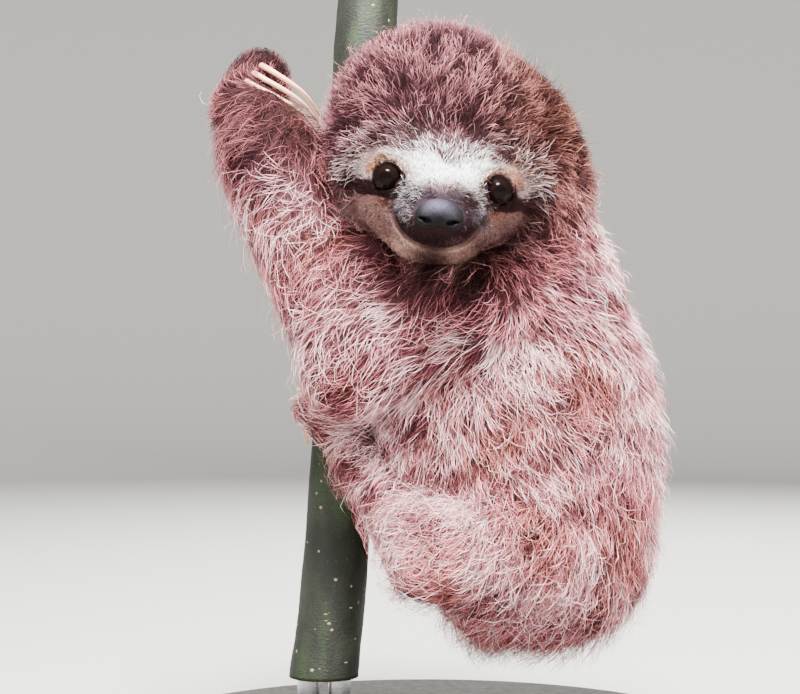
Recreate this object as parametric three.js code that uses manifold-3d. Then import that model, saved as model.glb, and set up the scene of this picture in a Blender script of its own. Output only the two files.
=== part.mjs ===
// Young three-toed sloth, life-size, clinging to a short cut length of tree stem on a display stand.
// Millimetres. +X is the animal's back, -Y the side its face is turned to, +Z up.
// The origin is the centre of the underside of the stand's base.

import * as THREE from 'three';
import { mergeVertices } from 'three/addons/utils/BufferGeometryUtils.js';
import Module from 'manifold-3d';

// ---------------------------------------------------------------- driving dimensions

const GAP = 0.35;                // clearance cut between neighbouring pieces
const SEAM_TRIM = 3.0;           // how far a seam cut reaches out through the coat
const MEET = 7.0;                // how far a body part runs past its own outline into its neighbour
const BLEND = 11.0;              // rounding where two connected body parts flow together

const BASE = { radius: 112, thickness: 14, bevel: 2.5 };
const ROD = { radius: 4.0, spacing: 11.0, sink: 8.0, insert: 16.0, fit: 0.3 };

const PERCH = {
  foot: [-37, 30, 29],           // centre of the lower cut end
  waist: [-33, 31, 70],          // centre where the stem straightens
  crown: [-21.5, 40, 276],       // centre of the upper cut end
  radius: 11.1,
  flare: 1.4,                    // extra radius at the lower end
  sides: 16,
  rings: 5,
};

const HEAD = {
  origin: [5.8, -13, 215.8],      // between the ears, on the midline
  roll: 7,                       // degrees, towards the animal's left shoulder
  pitch: 10,                     // degrees, nose down
};

const EYE = { spread: 17.4, forward: 31.8, drop: 12.7, radius: 5.0 };
const NOSE = { forward: 49.5, drop: 21.0, half: [7.4, 4.4, 4.9] };
const EAR = { half: [2.6, 5.5, 6.5], right: [-40.5, 8, -8], left: [47, 3.5, -9] };

const CLAW = { rootRadius: 1.2, tipRadius: 0.45, sides: 5, rings: 5, root: 6.0 };

// Joints of the posed body, with the radius of the outline (coat included) round each.
const JOINT = {
  neckTop: { at: [26, 5, 194], radius: 27 },
  neckBase: { at: [34, 8, 170], radius: 31 },
  tailRoot: { at: [35, 12, 60], radius: 13 },
  tailTip: { at: [21, 18, 50], radius: 6 },

  shoulderNear: { at: [8, -17, 160], radius: 22 },
  elbowNear: { at: [-27, -14, 137], radius: 15.5 },
  wristNear: { at: [-54, 2, 208], radius: 19.5 },
  palmNear: { at: [-63, 21.5, 230], radius: 14.5 },
  knuckleNear: { at: [-60, 30, 241], radius: 12.5 },

  shoulderFar: { at: [25, 32, 160], radius: 21 },
  elbowFar: { at: [3, 65, 151], radius: 14.5 },
  wristFar: { at: [-9, 71, 191], radius: 13 },
  palmFar: { at: [-17, 67, 205], radius: 11 },
  knuckleFar: { at: [-24, 62, 210], radius: 9 },

  hipNear: { at: [29, -17, 81], radius: 26 },
  kneeNear: { at: [1.5, -20, 78.5], radius: 15.5 },
  ankleNear: { at: [-22, 3, 107], radius: 12 },
  soleNear: { at: [-32.5, 12.5, 119], radius: 10 },
  toeNear: { at: [-40.5, 16, 124.5], radius: 8.5 },

  hipFar: { at: [35, 32, 80], radius: 24 },
  kneeFar: { at: [5, 60, 74], radius: 16 },
  ankleFar: { at: [-14, 64, 101], radius: 11.5 },
  soleFar: { at: [-24, 58, 113], radius: 10 },
  toeFar: { at: [-32, 54.5, 118], radius: 8.5 },
};

// The middle claw of each paw, as its start, middle and tip beside the stem: height, angle in
// degrees (0 is +X, 90 is +Y) and distance from the stem's axis. step moves its two neighbours.
const GRIP = {
  hand_left: {
    paw: 'knuckleNear',
    start: { height: 238.5, angle: 219, reach: 42.5 },
    middle: { height: 232, angle: 227, reach: 31.5 },
    end: { height: 222, angle: 195, reach: 12.6 },
    step: { height: 3.0, reach: -3.0, endHeight: 2.9 },
  },
  hand_right: {
    paw: 'palmFar',
    start: { height: 211, angle: 108, reach: 21 },
    middle: { height: 211, angle: 138, reach: 19.5 },
    end: { height: 205, angle: 178, reach: 12.6 },
    step: { height: 3.8, reach: 0, endHeight: 3.0 },
  },
  foot_left: {
    paw: 'toeNear',
    start: { height: 128, angle: 236, reach: 21 },
    middle: { height: 128, angle: 206, reach: 18.5 },
    end: { height: 122.5, angle: 163, reach: 12.7 },
    step: { height: 3.6, reach: 0, endHeight: 3.0 },
  },
  foot_right: {
    paw: 'soleFar',
    start: { height: 119, angle: 110, reach: 20.5 },
    middle: { height: 119, angle: 138, reach: 18.5 },
    end: { height: 114, angle: 176, reach: 12.7 },
    step: { height: 3.6, reach: 0, endHeight: 3.0 },
  },
};

const FINISH = {
  coat: { color: 0xb27d75, roughness: 0.95, metalness: 0 },
  crown: { color: 0x8a5f60, roughness: 0.95, metalness: 0 },
  paw: { color: 0x74504c, roughness: 0.95, metalness: 0 },
  ear: { color: 0x5a3a38, roughness: 0.9, metalness: 0 },
  eye: { color: 0x120a08, roughness: 0.08, metalness: 0 },
  nose: { color: 0x2b2630, roughness: 0.5, metalness: 0 },
  claw: { color: 0xe6cdb4, roughness: 0.4, metalness: 0 },
  bark: { color: 0x3e4238, roughness: 0.9, metalness: 0 },
  base: { color: 0x2c2a28, roughness: 0.45, metalness: 0 },
  rod: { color: 0xb8bbbe, roughness: 0.3, metalness: 1 },
};

// ---------------------------------------------------------------- solids and cuts

const wasm = await Module();
wasm.setup();

/** Turns a closed BufferGeometry into a manifold solid. */
function toSolid(geometry) {
  const bare = geometry.clone();
  for (const name of Object.keys(bare.attributes)) {
    if (name !== 'position') bare.deleteAttribute(name);
  }
  const merged = mergeVertices(bare, 1e-4);
  return new wasm.Manifold(new wasm.Mesh({
    numProp: 3,
    vertProperties: new Float32Array(merged.attributes.position.array),
    triVerts: new Uint32Array(merged.index.array),
  }));
}

/** Turns a manifold solid back into a flat-shaded BufferGeometry. */
function toGeometry(solid) {
  const mesh = solid.getMesh();
  const geometry = new THREE.BufferGeometry();
  geometry.setAttribute('position', new THREE.BufferAttribute(new Float32Array(mesh.vertProperties), 3));
  geometry.setIndex(new THREE.BufferAttribute(new Uint32Array(mesh.triVerts), 1));
  geometry.computeVertexNormals();
  return geometry;
}

/** Keeps the biggest of the bodies that a cut leaves. */
function largestBody(solid) {
  const bodies = solid.decompose();
  const volumes = bodies.map((body) => body.volume());
  return bodies[volumes.indexOf(Math.max(...volumes))];
}

// ---------------------------------------------------------------- distance fields

const vec = (values) => new THREE.Vector3(...values);

/** Distance to a limb that swells or narrows evenly from one ball to another. */
function limb(from, to) {
  const start = vec(from.at);
  const along = vec(to.at).sub(start);
  const lengthSq = along.lengthSq();
  const offset = new THREE.Vector3();
  return (point) => {
    offset.copy(point).sub(start);
    const t = THREE.MathUtils.clamp(offset.dot(along) / lengthSq, 0, 1);
    offset.addScaledVector(along, -t);
    return offset.length() - THREE.MathUtils.lerp(from.radius, to.radius, t);
  };
}

/** Distance, near the surface, to an ellipsoid; turn is the quaternion of its own axes. */
function egg(centre, half, turn = new THREE.Quaternion()) {
  const back = turn.clone().invert();
  const middle = vec(centre);
  const local = new THREE.Vector3();
  return (point) => {
    local.copy(point).sub(middle).applyQuaternion(back);
    const near = Math.hypot(local.x / half[0], local.y / half[1], local.z / half[2]);
    const slope = Math.hypot(local.x / half[0] ** 2, local.y / half[1] ** 2, local.z / half[2] ** 2);
    return slope > 0 ? (near * (near - 1)) / slope : -Math.min(...half);
  };
}

/** Joins two distances with a rounded valley of the given size. */
function smoothMin(a, b, size) {
  const h = Math.max(size - Math.abs(a - b), 0) / size;
  return Math.min(a, b) - (h * h * size) / 4;
}

/** One field for several shapes. */
const blend = (fields, size) => (point) => fields.map((f) => f(point)).reduce((a, b) => smoothMin(a, b, size));

// ---------------------------------------------------------------- frames

const headTurn = new THREE.Quaternion().setFromEuler(new THREE.Euler(
  THREE.MathUtils.degToRad(HEAD.pitch),
  THREE.MathUtils.degToRad(HEAD.roll),
  0,
  'YXZ',
));

/** A point given from the head's origin (right, back, up) in the part's frame. */
const onHead = (x, y, z) => new THREE.Vector3(x, y, z).applyQuaternion(headTurn).add(vec(HEAD.origin)).toArray();

const headEgg = (centre, half) => egg(onHead(...centre), half, headTurn);

const stemLine = new THREE.CatmullRomCurve3([vec(PERCH.foot), vec(PERCH.waist), vec(PERCH.crown)]);

/** The stem's centre at a height. */
function stemCentre(height) {
  let low = 0;
  let high = 1;
  while (high - low > 1e-6) {
    const middle = (low + high) / 2;
    if (stemLine.getPoint(middle).z < height) low = middle;
    else high = middle;
  }
  return stemLine.getPoint(low);
}

/** A point beside the stem, by height, angle in degrees and distance from its axis. */
function besideStem({ height, angle, reach }) {
  const turn = THREE.MathUtils.degToRad(angle);
  return stemCentre(height).add(new THREE.Vector3(Math.cos(turn) * reach, Math.sin(turn) * reach, 0));
}

// ---------------------------------------------------------------- body parts

const J = JOINT;

// Each body part: its shapes, after the two joints that a limb runs between; the parts it flows
// into; how finely it is meshed; and its finish. Parts listed first keep their ends; later ones
// are cut to meet them.
const FLESH = {
  head: {
    shapes: [
      headEgg([-5, 3, -0.5], [37.5, 36, 39]),
      headEgg([11, 12, -5], [36.5, 31, 34]),
      headEgg([25, 17, -14], [25, 25, 26]),
      headEgg([0, -14, -15], [31, 26, 25]),
      headEgg([0, -38, -22], [13, 14, 11]),
      headEgg([0, -29, -34], [14, 8.5, 5.5]),
    ],
    joins: ['neck'],
    hub: onHead(2, 2, -4),
    detail: 5,
    finish: 'crown',
  },
  hand_left: {
    ends: [J.palmNear, J.knuckleNear],
    joins: ['forearm_left'],
    finish: 'paw',
  },
  hand_right: {
    ends: [J.palmFar, J.knuckleFar],
    joins: ['forearm_right'],
    finish: 'paw',
  },
  foot_left: {
    ends: [J.soleNear, J.toeNear],
    joins: ['shank_left'],
    finish: 'paw',
  },
  foot_right: {
    ends: [J.soleFar, J.toeFar],
    joins: ['shank_right'],
    finish: 'paw',
  },
  forearm_left: {
    ends: [J.elbowNear, J.wristNear],
    shapes: [egg([-45, 8, 208], [16, 15, 18]), egg([-58, 10, 219], [18, 15, 19])],
    joins: ['upper_arm_left', 'hand_left'],
    finish: 'coat',
  },
  forearm_right: {
    ends: [J.elbowFar, J.wristFar],
    joins: ['upper_arm_right', 'hand_right'],
    finish: 'coat',
  },
  shank_left: {
    ends: [J.kneeNear, J.ankleNear],
    joins: ['thigh_left', 'foot_left'],
    finish: 'coat',
  },
  shank_right: {
    ends: [J.kneeFar, J.ankleFar],
    joins: ['thigh_right', 'foot_right'],
    finish: 'coat',
  },
  upper_arm_left: {
    ends: [J.shoulderNear, J.elbowNear],
    shapes: [egg([-22, -8, 171], [16, 14, 19])],
    joins: ['forearm_left', 'torso'],
    finish: 'coat',
  },
  upper_arm_right: {
    ends: [J.shoulderFar, J.elbowFar],
    joins: ['forearm_right', 'torso'],
    finish: 'coat',
  },
  thigh_left: {
    ends: [J.hipNear, J.kneeNear],
    joins: ['shank_left', 'torso'],
    finish: 'coat',
  },
  thigh_right: {
    ends: [J.hipFar, J.kneeFar],
    joins: ['shank_right', 'torso'],
    finish: 'coat',
  },
  neck: {
    ends: [J.neckTop, J.neckBase],
    joins: ['head', 'torso'],
    finish: 'coat',
  },
  tail: {
    ends: [J.tailRoot, J.tailTip],
    joins: ['torso'],
    detail: 1,
    finish: 'coat',
  },
  torso: {
    shapes: [
      egg([36, 6, 112], [46, 42, 66]),
      egg([30, 10, 150], [38, 36, 37]),
      egg([43, 8, 76], [36, 38, 34]),
      egg([9, 2, 118], [28, 30, 40]),
      egg([20, 2, 63.5], [19, 25, 16.5]),
    ],
    joins: ['neck', 'upper_arm_left', 'upper_arm_right', 'thigh_left', 'thigh_right', 'tail'],
    hub: [35, 6, 112],
    detail: 4,
    finish: 'coat',
  },
};

const SHAPE_BLEND = 9.0;         // rounding between the shapes of one part
const LIMB_DETAIL = 2;

/** The field of one body part alone. */
function ownField(name) {
  const { ends, shapes = [] } = FLESH[name];
  return blend(ends ? [limb(...ends), ...shapes] : shapes, SHAPE_BLEND);
}

/** The field of a part together with the parts that it flows into. */
const joinedField = (name) => blend([name, ...FLESH[name].joins].map(ownField), BLEND);

/** Axes of the limb between two joints, as a stretched ball's centre, quaternion and half sizes. */
function limbBall(from, to) {
  const start = vec(from.at);
  const end = vec(to.at);
  const half = start.distanceTo(end) / 2;
  const radius = (from.radius + to.radius) / 2;
  const turn = new THREE.Quaternion().setFromUnitVectors(
    new THREE.Vector3(0, 0, 1),
    end.clone().sub(start).normalize(),
  );
  return { hub: start.add(end).multiplyScalar(0.5), turn, half: [radius, radius, radius + half] };
}

/**
 * A ball whose points are pushed out from the part's hub to its outline.
 * outer moves the outline through the coat, inner moves the end inside the neighbour.
 */
function sculpt(name, outer = 0, inner = 0) {
  const part = FLESH[name];
  const ball = part.ends
    ? limbBall(...part.ends)
    : { hub: vec(part.hub), turn: new THREE.Quaternion(), half: [1, 1, 1] };
  const own = ownField(name);
  const joined = joinedField(name);
  const outside = (point) => Math.max(joined(point) - outer, own(point) - MEET - inner);

  const geometry = new THREE.IcosahedronGeometry(1, part.detail ?? LIMB_DETAIL);
  const position = geometry.attributes.position;
  const direction = new THREE.Vector3();
  const point = new THREE.Vector3();
  for (let i = 0; i < position.count; i += 1) {
    direction.fromBufferAttribute(position, i).multiply(vec(ball.half));
    direction.applyQuaternion(ball.turn).normalize();
    const distance = firstCrossing(outside, ball.hub, direction, point);
    point.copy(ball.hub).addScaledVector(direction, distance);
    position.setXYZ(i, point.x, point.y, point.z);
  }
  return geometry;
}

/** How far from the hub the field first turns positive. */
function firstCrossing(field, hub, direction, point) {
  const stride = 1.0;
  let high = stride;
  while (field(point.copy(hub).addScaledVector(direction, high)) < 0) high += stride;
  let low = high - stride;
  for (let i = 0; i < 12; i += 1) {
    const middle = (low + high) / 2;
    if (field(point.copy(hub).addScaledVector(direction, middle)) < 0) low = middle;
    else high = middle;
  }
  return low;
}

// ---------------------------------------------------------------- eyes, nose, ears

/** A ball stretched to half sizes and turned with the head. */
function headBall(centre, half, grow = 0, detail = 2) {
  const geometry = new THREE.IcosahedronGeometry(1, detail);
  geometry.scale(half[0] + grow, half[1] + grow, half[2] + grow);
  geometry.applyQuaternion(headTurn);
  geometry.translate(...onHead(...centre));
  return geometry;
}

const eyeHalf = [EYE.radius, EYE.radius, EYE.radius];

const FEATURES = {
  eye_left: { centre: [EYE.spread, -EYE.forward, -EYE.drop], half: eyeHalf, finish: 'eye' },
  eye_right: { centre: [-EYE.spread, -EYE.forward, -EYE.drop], half: eyeHalf, finish: 'eye' },
  nose: { centre: [0, -NOSE.forward, -NOSE.drop], half: NOSE.half, finish: 'nose' },
  ear_left: { centre: EAR.left, half: EAR.half, finish: 'ear', detail: 1 },
  ear_right: { centre: EAR.right, half: EAR.half, finish: 'ear', detail: 1 },
};

// ---------------------------------------------------------------- claws

/** A tapered claw: a lathed spike bent along a curve. */
function clawGeometry(curve, grow = 0) {
  const profile = [new THREE.Vector2(0, 0)];
  for (let i = 0; i <= CLAW.rings; i += 1) {
    const t = i / CLAW.rings;
    const radius = THREE.MathUtils.lerp(CLAW.rootRadius, CLAW.tipRadius, t ** 1.4);
    profile.push(new THREE.Vector2(radius + grow, t));
  }
  profile.push(new THREE.Vector2(0, 1));
  const geometry = new THREE.LatheGeometry(profile, CLAW.sides);
  const position = geometry.attributes.position;
  const frame = new THREE.Matrix4();
  const side = new THREE.Vector3();
  const bend = new THREE.Vector3();
  const up = new THREE.Vector3(0, 0, 1);
  const point = new THREE.Vector3();
  for (let i = 0; i < position.count; i += 1) {
    point.fromBufferAttribute(position, i);
    const t = point.y;
    const along = curve.getTangent(t);
    side.crossVectors(up, along).normalize();
    bend.crossVectors(side, along);
    frame.makeBasis(side, along, bend);
    point.y = 0;
    point.applyMatrix4(frame).add(curve.getPoint(t));
    position.setXYZ(i, point.x, point.y, point.z);
  }
  return geometry;
}

/** The curve of one claw of a paw; index -1, 0 or 1 counts from the lowest. */
function clawCurve(grip, index) {
  const { step } = grip;
  const shifted = (place, height, reach) => besideStem({
    height: place.height + height * index,
    angle: place.angle,
    reach: place.reach + reach * index,
  });
  const start = shifted(grip.start, step.height, step.reach);
  const middle = shifted(grip.middle, (step.height + step.endHeight) / 2, step.reach / 2);
  const tip = shifted(grip.end, step.endHeight, 0);
  const base = besideStem(grip.start);
  const inward = vec(JOINT[grip.paw].at).sub(base).normalize();
  const back = base.clone().sub(besideStem(grip.middle)).normalize();
  const root = start.clone().add(inward.add(back).setLength(CLAW.root));
  return new THREE.CatmullRomCurve3([root, start, middle, tip]);
}

const CLAW_NAMES = ['low', 'middle', 'high'];

// ---------------------------------------------------------------- perch and stand

/** The stem: a cylinder laid along its line, swelling a little towards the lower end. */
function perchGeometry(grow = 0) {
  const geometry = new THREE.CylinderGeometry(1, 1, 1, PERCH.sides, PERCH.rings);
  const position = geometry.attributes.position;
  for (let i = 0; i < position.count; i += 1) {
    const t = THREE.MathUtils.clamp(position.getY(i) + 0.5, 0, 1);
    const centre = stemLine.getPoint(t);
    const radius = PERCH.radius + PERCH.flare * (1 - t) ** 4 + grow;
    position.setXYZ(
      i,
      centre.x + radius * position.getX(i),
      centre.y - radius * position.getZ(i),
      centre.z,
    );
  }
  return geometry;
}

const rodTop = PERCH.foot[2] + ROD.insert;
const rodBottom = BASE.thickness - ROD.sink;

/** One upright rod, placed beside the stem's lower end. */
function rodGeometry(side, grow = 0) {
  const length = rodTop - rodBottom + 2 * grow;
  const geometry = new THREE.CylinderGeometry(ROD.radius + grow, ROD.radius + grow, length, 10);
  geometry.rotateX(Math.PI / 2);
  geometry.translate(
    PERCH.foot[0] + (side * ROD.spacing) / 2,
    PERCH.foot[1],
    (rodTop + rodBottom) / 2,
  );
  return geometry;
}

/** The round base, with a small bevel at its top edge. */
function baseGeometry() {
  const profile = [
    new THREE.Vector2(0, 0),
    new THREE.Vector2(BASE.radius, 0),
    new THREE.Vector2(BASE.radius, BASE.thickness - BASE.bevel),
    new THREE.Vector2(BASE.radius - BASE.bevel, BASE.thickness),
    new THREE.Vector2(0, BASE.thickness),
  ];
  const geometry = new THREE.LatheGeometry(profile, 28);
  geometry.rotateX(Math.PI / 2);
  return geometry;
}

// ---------------------------------------------------------------- assembly

const model = new THREE.Group();

/** Adds one named piece. */
function addPiece(name, solid, finish) {
  const mesh = new THREE.Mesh(toGeometry(solid), new THREE.MeshStandardMaterial(FINISH[finish]));
  mesh.name = name;
  model.add(mesh);
}

// Everything already placed, as the cutters that later pieces must clear: one for the parts
// that flow into it and one for the rest.
const cutters = [];

/** Cuts a solid clear of every cutter that it can touch. */
function clearOf(name, solid) {
  let result = solid;
  for (const cutter of cutters) {
    result = result.subtract(cutter.joins.includes(name) ? cutter.seam : cutter.touch);
  }
  return largestBody(result);
}

for (const side of [-1, 1]) {
  const name = side < 0 ? 'stand_rod_left' : 'stand_rod_right';
  addPiece(name, toSolid(rodGeometry(side)), 'rod');
  const clearance = toSolid(rodGeometry(side, ROD.fit));
  cutters.push({ joins: [], seam: clearance, touch: clearance });
}
addPiece('stand_base', clearOf('stand_base', toSolid(baseGeometry())), 'base');
addPiece('perch', clearOf('perch', toSolid(perchGeometry())), 'bark');
const perchCutter = toSolid(perchGeometry(GAP));
cutters.push({ joins: [], seam: perchCutter, touch: perchCutter });

for (const [paw, grip] of Object.entries(GRIP)) {
  CLAW_NAMES.forEach((label, i) => {
    const curve = clawCurve(grip, i - 1);
    const name = `claw_${paw}_${label}`;
    addPiece(name, clearOf(name, toSolid(clawGeometry(curve))), 'claw');
    const cutter = toSolid(clawGeometry(curve, GAP));
    cutters.push({ joins: [], seam: cutter, touch: cutter });
  });
}

for (const [name, { centre, half, finish, detail }] of Object.entries(FEATURES)) {
  addPiece(name, toSolid(headBall(centre, half, 0, detail)), finish);
  const cutter = toSolid(headBall(centre, half, GAP, detail));
  cutters.push({ joins: [], seam: cutter, touch: cutter });
}

for (const [name, part] of Object.entries(FLESH)) {
  addPiece(name, clearOf(name, toSolid(sculpt(name))), part.finish);
  cutters.push({
    joins: part.joins,
    seam: toSolid(sculpt(name, SEAM_TRIM, GAP)),
    touch: toSolid(sculpt(name, GAP, GAP)),
  });
}

export default model;
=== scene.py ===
"""A young three-toed sloth, life size, as a still museum model on its stem and stand.

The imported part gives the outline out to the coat's tips. This script lays the bare skin inside that
outline, grows the coat on it lock by lock, and adds the eyes, nose pad, claws, bark and stand. Lengths
are in millimetres until a mesh is made.
"""

import logging
import math
from collections.abc import Callable, Mapping
from dataclasses import dataclass, field
from enum import Enum

import bpy
import numpy as np
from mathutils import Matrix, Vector, kdtree


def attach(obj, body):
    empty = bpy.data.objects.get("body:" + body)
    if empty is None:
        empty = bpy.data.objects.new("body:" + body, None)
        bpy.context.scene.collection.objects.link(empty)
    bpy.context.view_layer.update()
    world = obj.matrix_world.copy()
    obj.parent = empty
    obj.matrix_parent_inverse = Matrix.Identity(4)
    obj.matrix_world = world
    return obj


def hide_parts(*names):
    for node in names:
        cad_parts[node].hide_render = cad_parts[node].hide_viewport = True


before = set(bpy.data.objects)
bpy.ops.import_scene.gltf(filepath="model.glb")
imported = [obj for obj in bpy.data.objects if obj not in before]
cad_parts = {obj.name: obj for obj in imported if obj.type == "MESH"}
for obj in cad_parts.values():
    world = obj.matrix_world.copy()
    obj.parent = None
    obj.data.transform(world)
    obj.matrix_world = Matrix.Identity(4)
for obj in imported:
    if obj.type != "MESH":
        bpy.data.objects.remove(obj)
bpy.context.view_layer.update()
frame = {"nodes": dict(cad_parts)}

MM = 0.001
BODY = "root"
LOG = logging.getLogger("sloth")
Array = np.ndarray
Triple = tuple[float, float, float]
FACE_PARTS = ("ear_left", "ear_right")
BLOCK = 60000


# ------------------------------------------------------------------ arithmetic


def unit(vectors: Array) -> Array:
    """Rows scaled to length one."""
    return vectors / np.maximum(np.linalg.norm(vectors, axis=-1, keepdims=True), 1e-9)


def rise(low: float, high: float, values: Array) -> Array:
    """Smooth step from 0 at low to 1 at high; high may be the lower of the two."""
    t = np.clip((values - low) / (high - low), 0, 1)
    return t * t * (3 - 2 * t)


def smooth_min(a: Array, b: Array, size: float) -> Array:
    """Joins two distances with a rounded valley of the given size."""
    h = np.maximum(size - np.abs(a - b), 0) / size
    return np.minimum(a, b) - h * h * size / 4


def smooth_max(a: Array, b: Array, size: float) -> Array:
    """Cuts one distance by another with a rounded edge."""
    return -smooth_min(-a, -b, size)


def mix(a: Array, b: Array, share: Array) -> Array:
    """Blends rows a towards rows b by a share for each row."""
    return a + (b - a) * np.asarray(share)[:, None]


def turned(vectors: Array, axes: Array, angles: Array) -> Array:
    """Rows turned about unit axes at right angles to them, by angles in radians."""
    return vectors * np.cos(angles)[:, None] + np.cross(axes, vectors) * np.sin(angles)[:, None]


def curve_points(knots: list[Triple], count: int) -> Array:
    """Points evenly spread in parameter along a centripetal Catmull-Rom curve through the knots.

    Args:
        knots: Points that the curve passes through.
        count: How many points to return.

    Returns:
        An array of count rows.
    """
    p = np.array(knots, float)
    p = np.vstack([2 * p[0] - p[1], p, 2 * p[-1] - p[-2]])
    spans = len(knots) - 1
    t = np.linspace(0, spans, count)
    piece = np.minimum(t.astype(int), spans - 1)
    u = t - piece
    gaps = np.maximum(np.linalg.norm(np.diff(p, axis=0), axis=1) ** 0.5, 1e-4)
    g0, g1, g2 = gaps[piece], gaps[piece + 1], gaps[piece + 2]
    p0, p1, p2, p3 = (p[piece + k] for k in range(4))
    out1 = ((p1 - p0) / g0[:, None] - (p2 - p0) / (g0 + g1)[:, None] + (p2 - p1) / g1[:, None]) * g1[:, None]
    out2 = ((p2 - p1) / g1[:, None] - (p3 - p1) / (g1 + g2)[:, None] + (p3 - p2) / g2[:, None]) * g1[:, None]
    u = u[:, None]
    c2 = -3 * p1 + 3 * p2 - 2 * out1 - out2
    c3 = 2 * p1 - 2 * p2 + out1 + out2
    return p1 + out1 * u + c2 * u**2 + c3 * u**3


class Mottle:
    """Smooth random patches, from -1 to 1, that repeat only far outside the model."""

    LATTICE = 32

    def __init__(self, seed: int, size: float, channels: int = 1) -> None:
        """Makes the lattice.

        Args:
            seed: Seed of the random values.
            size: Rough width of a patch.
            channels: How many independent values to give at a point.
        """
        self.size = size
        n = self.LATTICE
        self.values = np.random.default_rng(seed).uniform(-1, 1, (n, n, n, channels))

    def __call__(self, points: Array) -> Array:
        """The values at points, one row for each."""
        p = points / self.size
        low = np.floor(p).astype(int)
        t = p - low
        t = t * t * (3 - 2 * t)
        total = np.zeros((len(points), self.values.shape[-1]))
        for corner in np.ndindex(2, 2, 2):
            share = np.prod(np.where(np.array(corner) == 1, t, 1 - t), axis=1)
            at = (low + corner) % self.LATTICE
            total += share[:, None] * self.values[at[:, 0], at[:, 1], at[:, 2]]
        return total


# ------------------------------------------------------------------ meshes


@dataclass
class Shell:
    """Vertices in millimetres and the triangles or quads between them."""

    vertices: Array
    faces: Array

    def object(self, name: str, material: bpy.types.Material) -> bpy.types.Object:
        """Makes a Blender object of the shell, in metres and with its place in its mesh.

        Args:
            name: Name of the object and its mesh.
            material: Its material.

        Returns:
            The object, linked to the scene and shaded smooth.
        """
        mesh = bpy.data.meshes.new(name)
        mesh.vertices.add(len(self.vertices))
        mesh.vertices.foreach_set("co", (self.vertices * MM).astype(np.float32).ravel())
        corners = self.faces.shape[1]
        mesh.loops.add(self.faces.size)
        mesh.loops.foreach_set("vertex_index", self.faces.astype(np.int32).ravel())
        mesh.polygons.add(len(self.faces))
        mesh.polygons.foreach_set("loop_start", np.arange(0, self.faces.size, corners, dtype=np.int32))
        mesh.polygons.foreach_set("use_smooth", np.ones(len(self.faces), bool))
        mesh.update(calc_edges=True)
        mesh.materials.append(material)
        made = bpy.data.objects.new(name, mesh)
        bpy.context.scene.collection.objects.link(made)
        return made


def paint(piece: bpy.types.Object, name: str, values: Array) -> None:
    """Stores one number or one linear colour for each vertex as a named attribute."""
    if values.ndim == 1:
        kind, key = "FLOAT", "value"
    else:
        kind, key = "FLOAT_COLOR", "color"
        values = np.hstack([values, np.ones((len(values), 1))])
    attribute = piece.data.attributes.new(name, kind, "POINT")
    attribute.data.foreach_set(key, values.astype(np.float32).ravel())


def place(piece: bpy.types.Object, slot: str, *nodes: str) -> None:
    """Rides a finished piece on the body and hides the nodes that it stands for."""
    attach(piece, BODY)
    if nodes:
        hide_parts(*nodes)
    LOG.info("%s: %d faces", piece.name, len(piece.data.polygons))


def tube(path: Array, radii: Array, sides: int, up: Triple = (0, 0, 1)) -> Shell:
    """A closed tube of quads round a path, with its ends drawn together.

    Args:
        path: Points of its axis.
        radii: Radius at each point, or a row of radii round it.
        sides: How many sides it has.
        up: A direction that the path never takes.

    Returns:
        The shell; its first rings follow the path in order.
    """
    along = unit(np.gradient(path, axis=0))
    side = unit(np.cross(np.array(up, float), along))
    other = np.cross(along, side)
    angle = np.arange(sides) * 2 * math.pi / sides
    reach = np.broadcast_to(np.asarray(radii, float).reshape(len(path), -1), (len(path), sides))
    rings = path[:, None] + reach[..., None] * (
        side[:, None] * np.cos(angle)[None, :, None] + other[:, None] * np.sin(angle)[None, :, None]
    )
    return rings_to_shell(rings, path[0], path[-1])


def rings_to_shell(rings: Array, first: Array, last: Array) -> Shell:
    """Quads between rings, closed by a fan at each end whose middle point is given."""
    count, sides = rings.shape[:2]
    vertices = np.vstack([rings.reshape(-1, 3), first, last])
    here = np.arange(count * sides).reshape(count, sides)
    beside = np.roll(here, -1, axis=1)
    walls = np.stack([here[:-1], beside[:-1], beside[1:], here[1:]], axis=-1).reshape(-1, 4)
    low, high = count * sides, count * sides + 1
    floor = np.stack([beside[0], here[0], np.full(sides, low), np.full(sides, low)], axis=-1)
    roof = np.stack([here[-1], beside[-1], np.full(sides, high), np.full(sides, high)], axis=-1)
    walls = np.vstack([walls[:, [0, 1, 2]], walls[:, [0, 2, 3]]])
    return Shell(vertices, np.vstack([walls, floor[:, :3], roof[:, :3]]))


def lathe(profile: list[tuple[float, float]], sides: int, centre: Triple = (0, 0, 0)) -> Shell:
    """A turned piece about an upright axis.

    Args:
        profile: Radius and height of each ring, from the bottom to the top.
        sides: How many sides it has.
        centre: Where the axis stands.

    Returns:
        The closed shell.
    """
    outline = np.array(profile, float)
    angle = np.arange(sides) * 2 * math.pi / sides
    rings = np.stack(
        [
            outline[:, :1] * np.cos(angle),
            outline[:, :1] * np.sin(angle),
            np.broadcast_to(outline[:, 1:], (len(outline), sides)),
        ],
        axis=-1,
    ) + np.array(centre, float)
    ends = [np.array([centre[0], centre[1], centre[2] + outline[k, 1]]) for k in (0, -1)]
    return rings_to_shell(rings, *ends)


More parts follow.
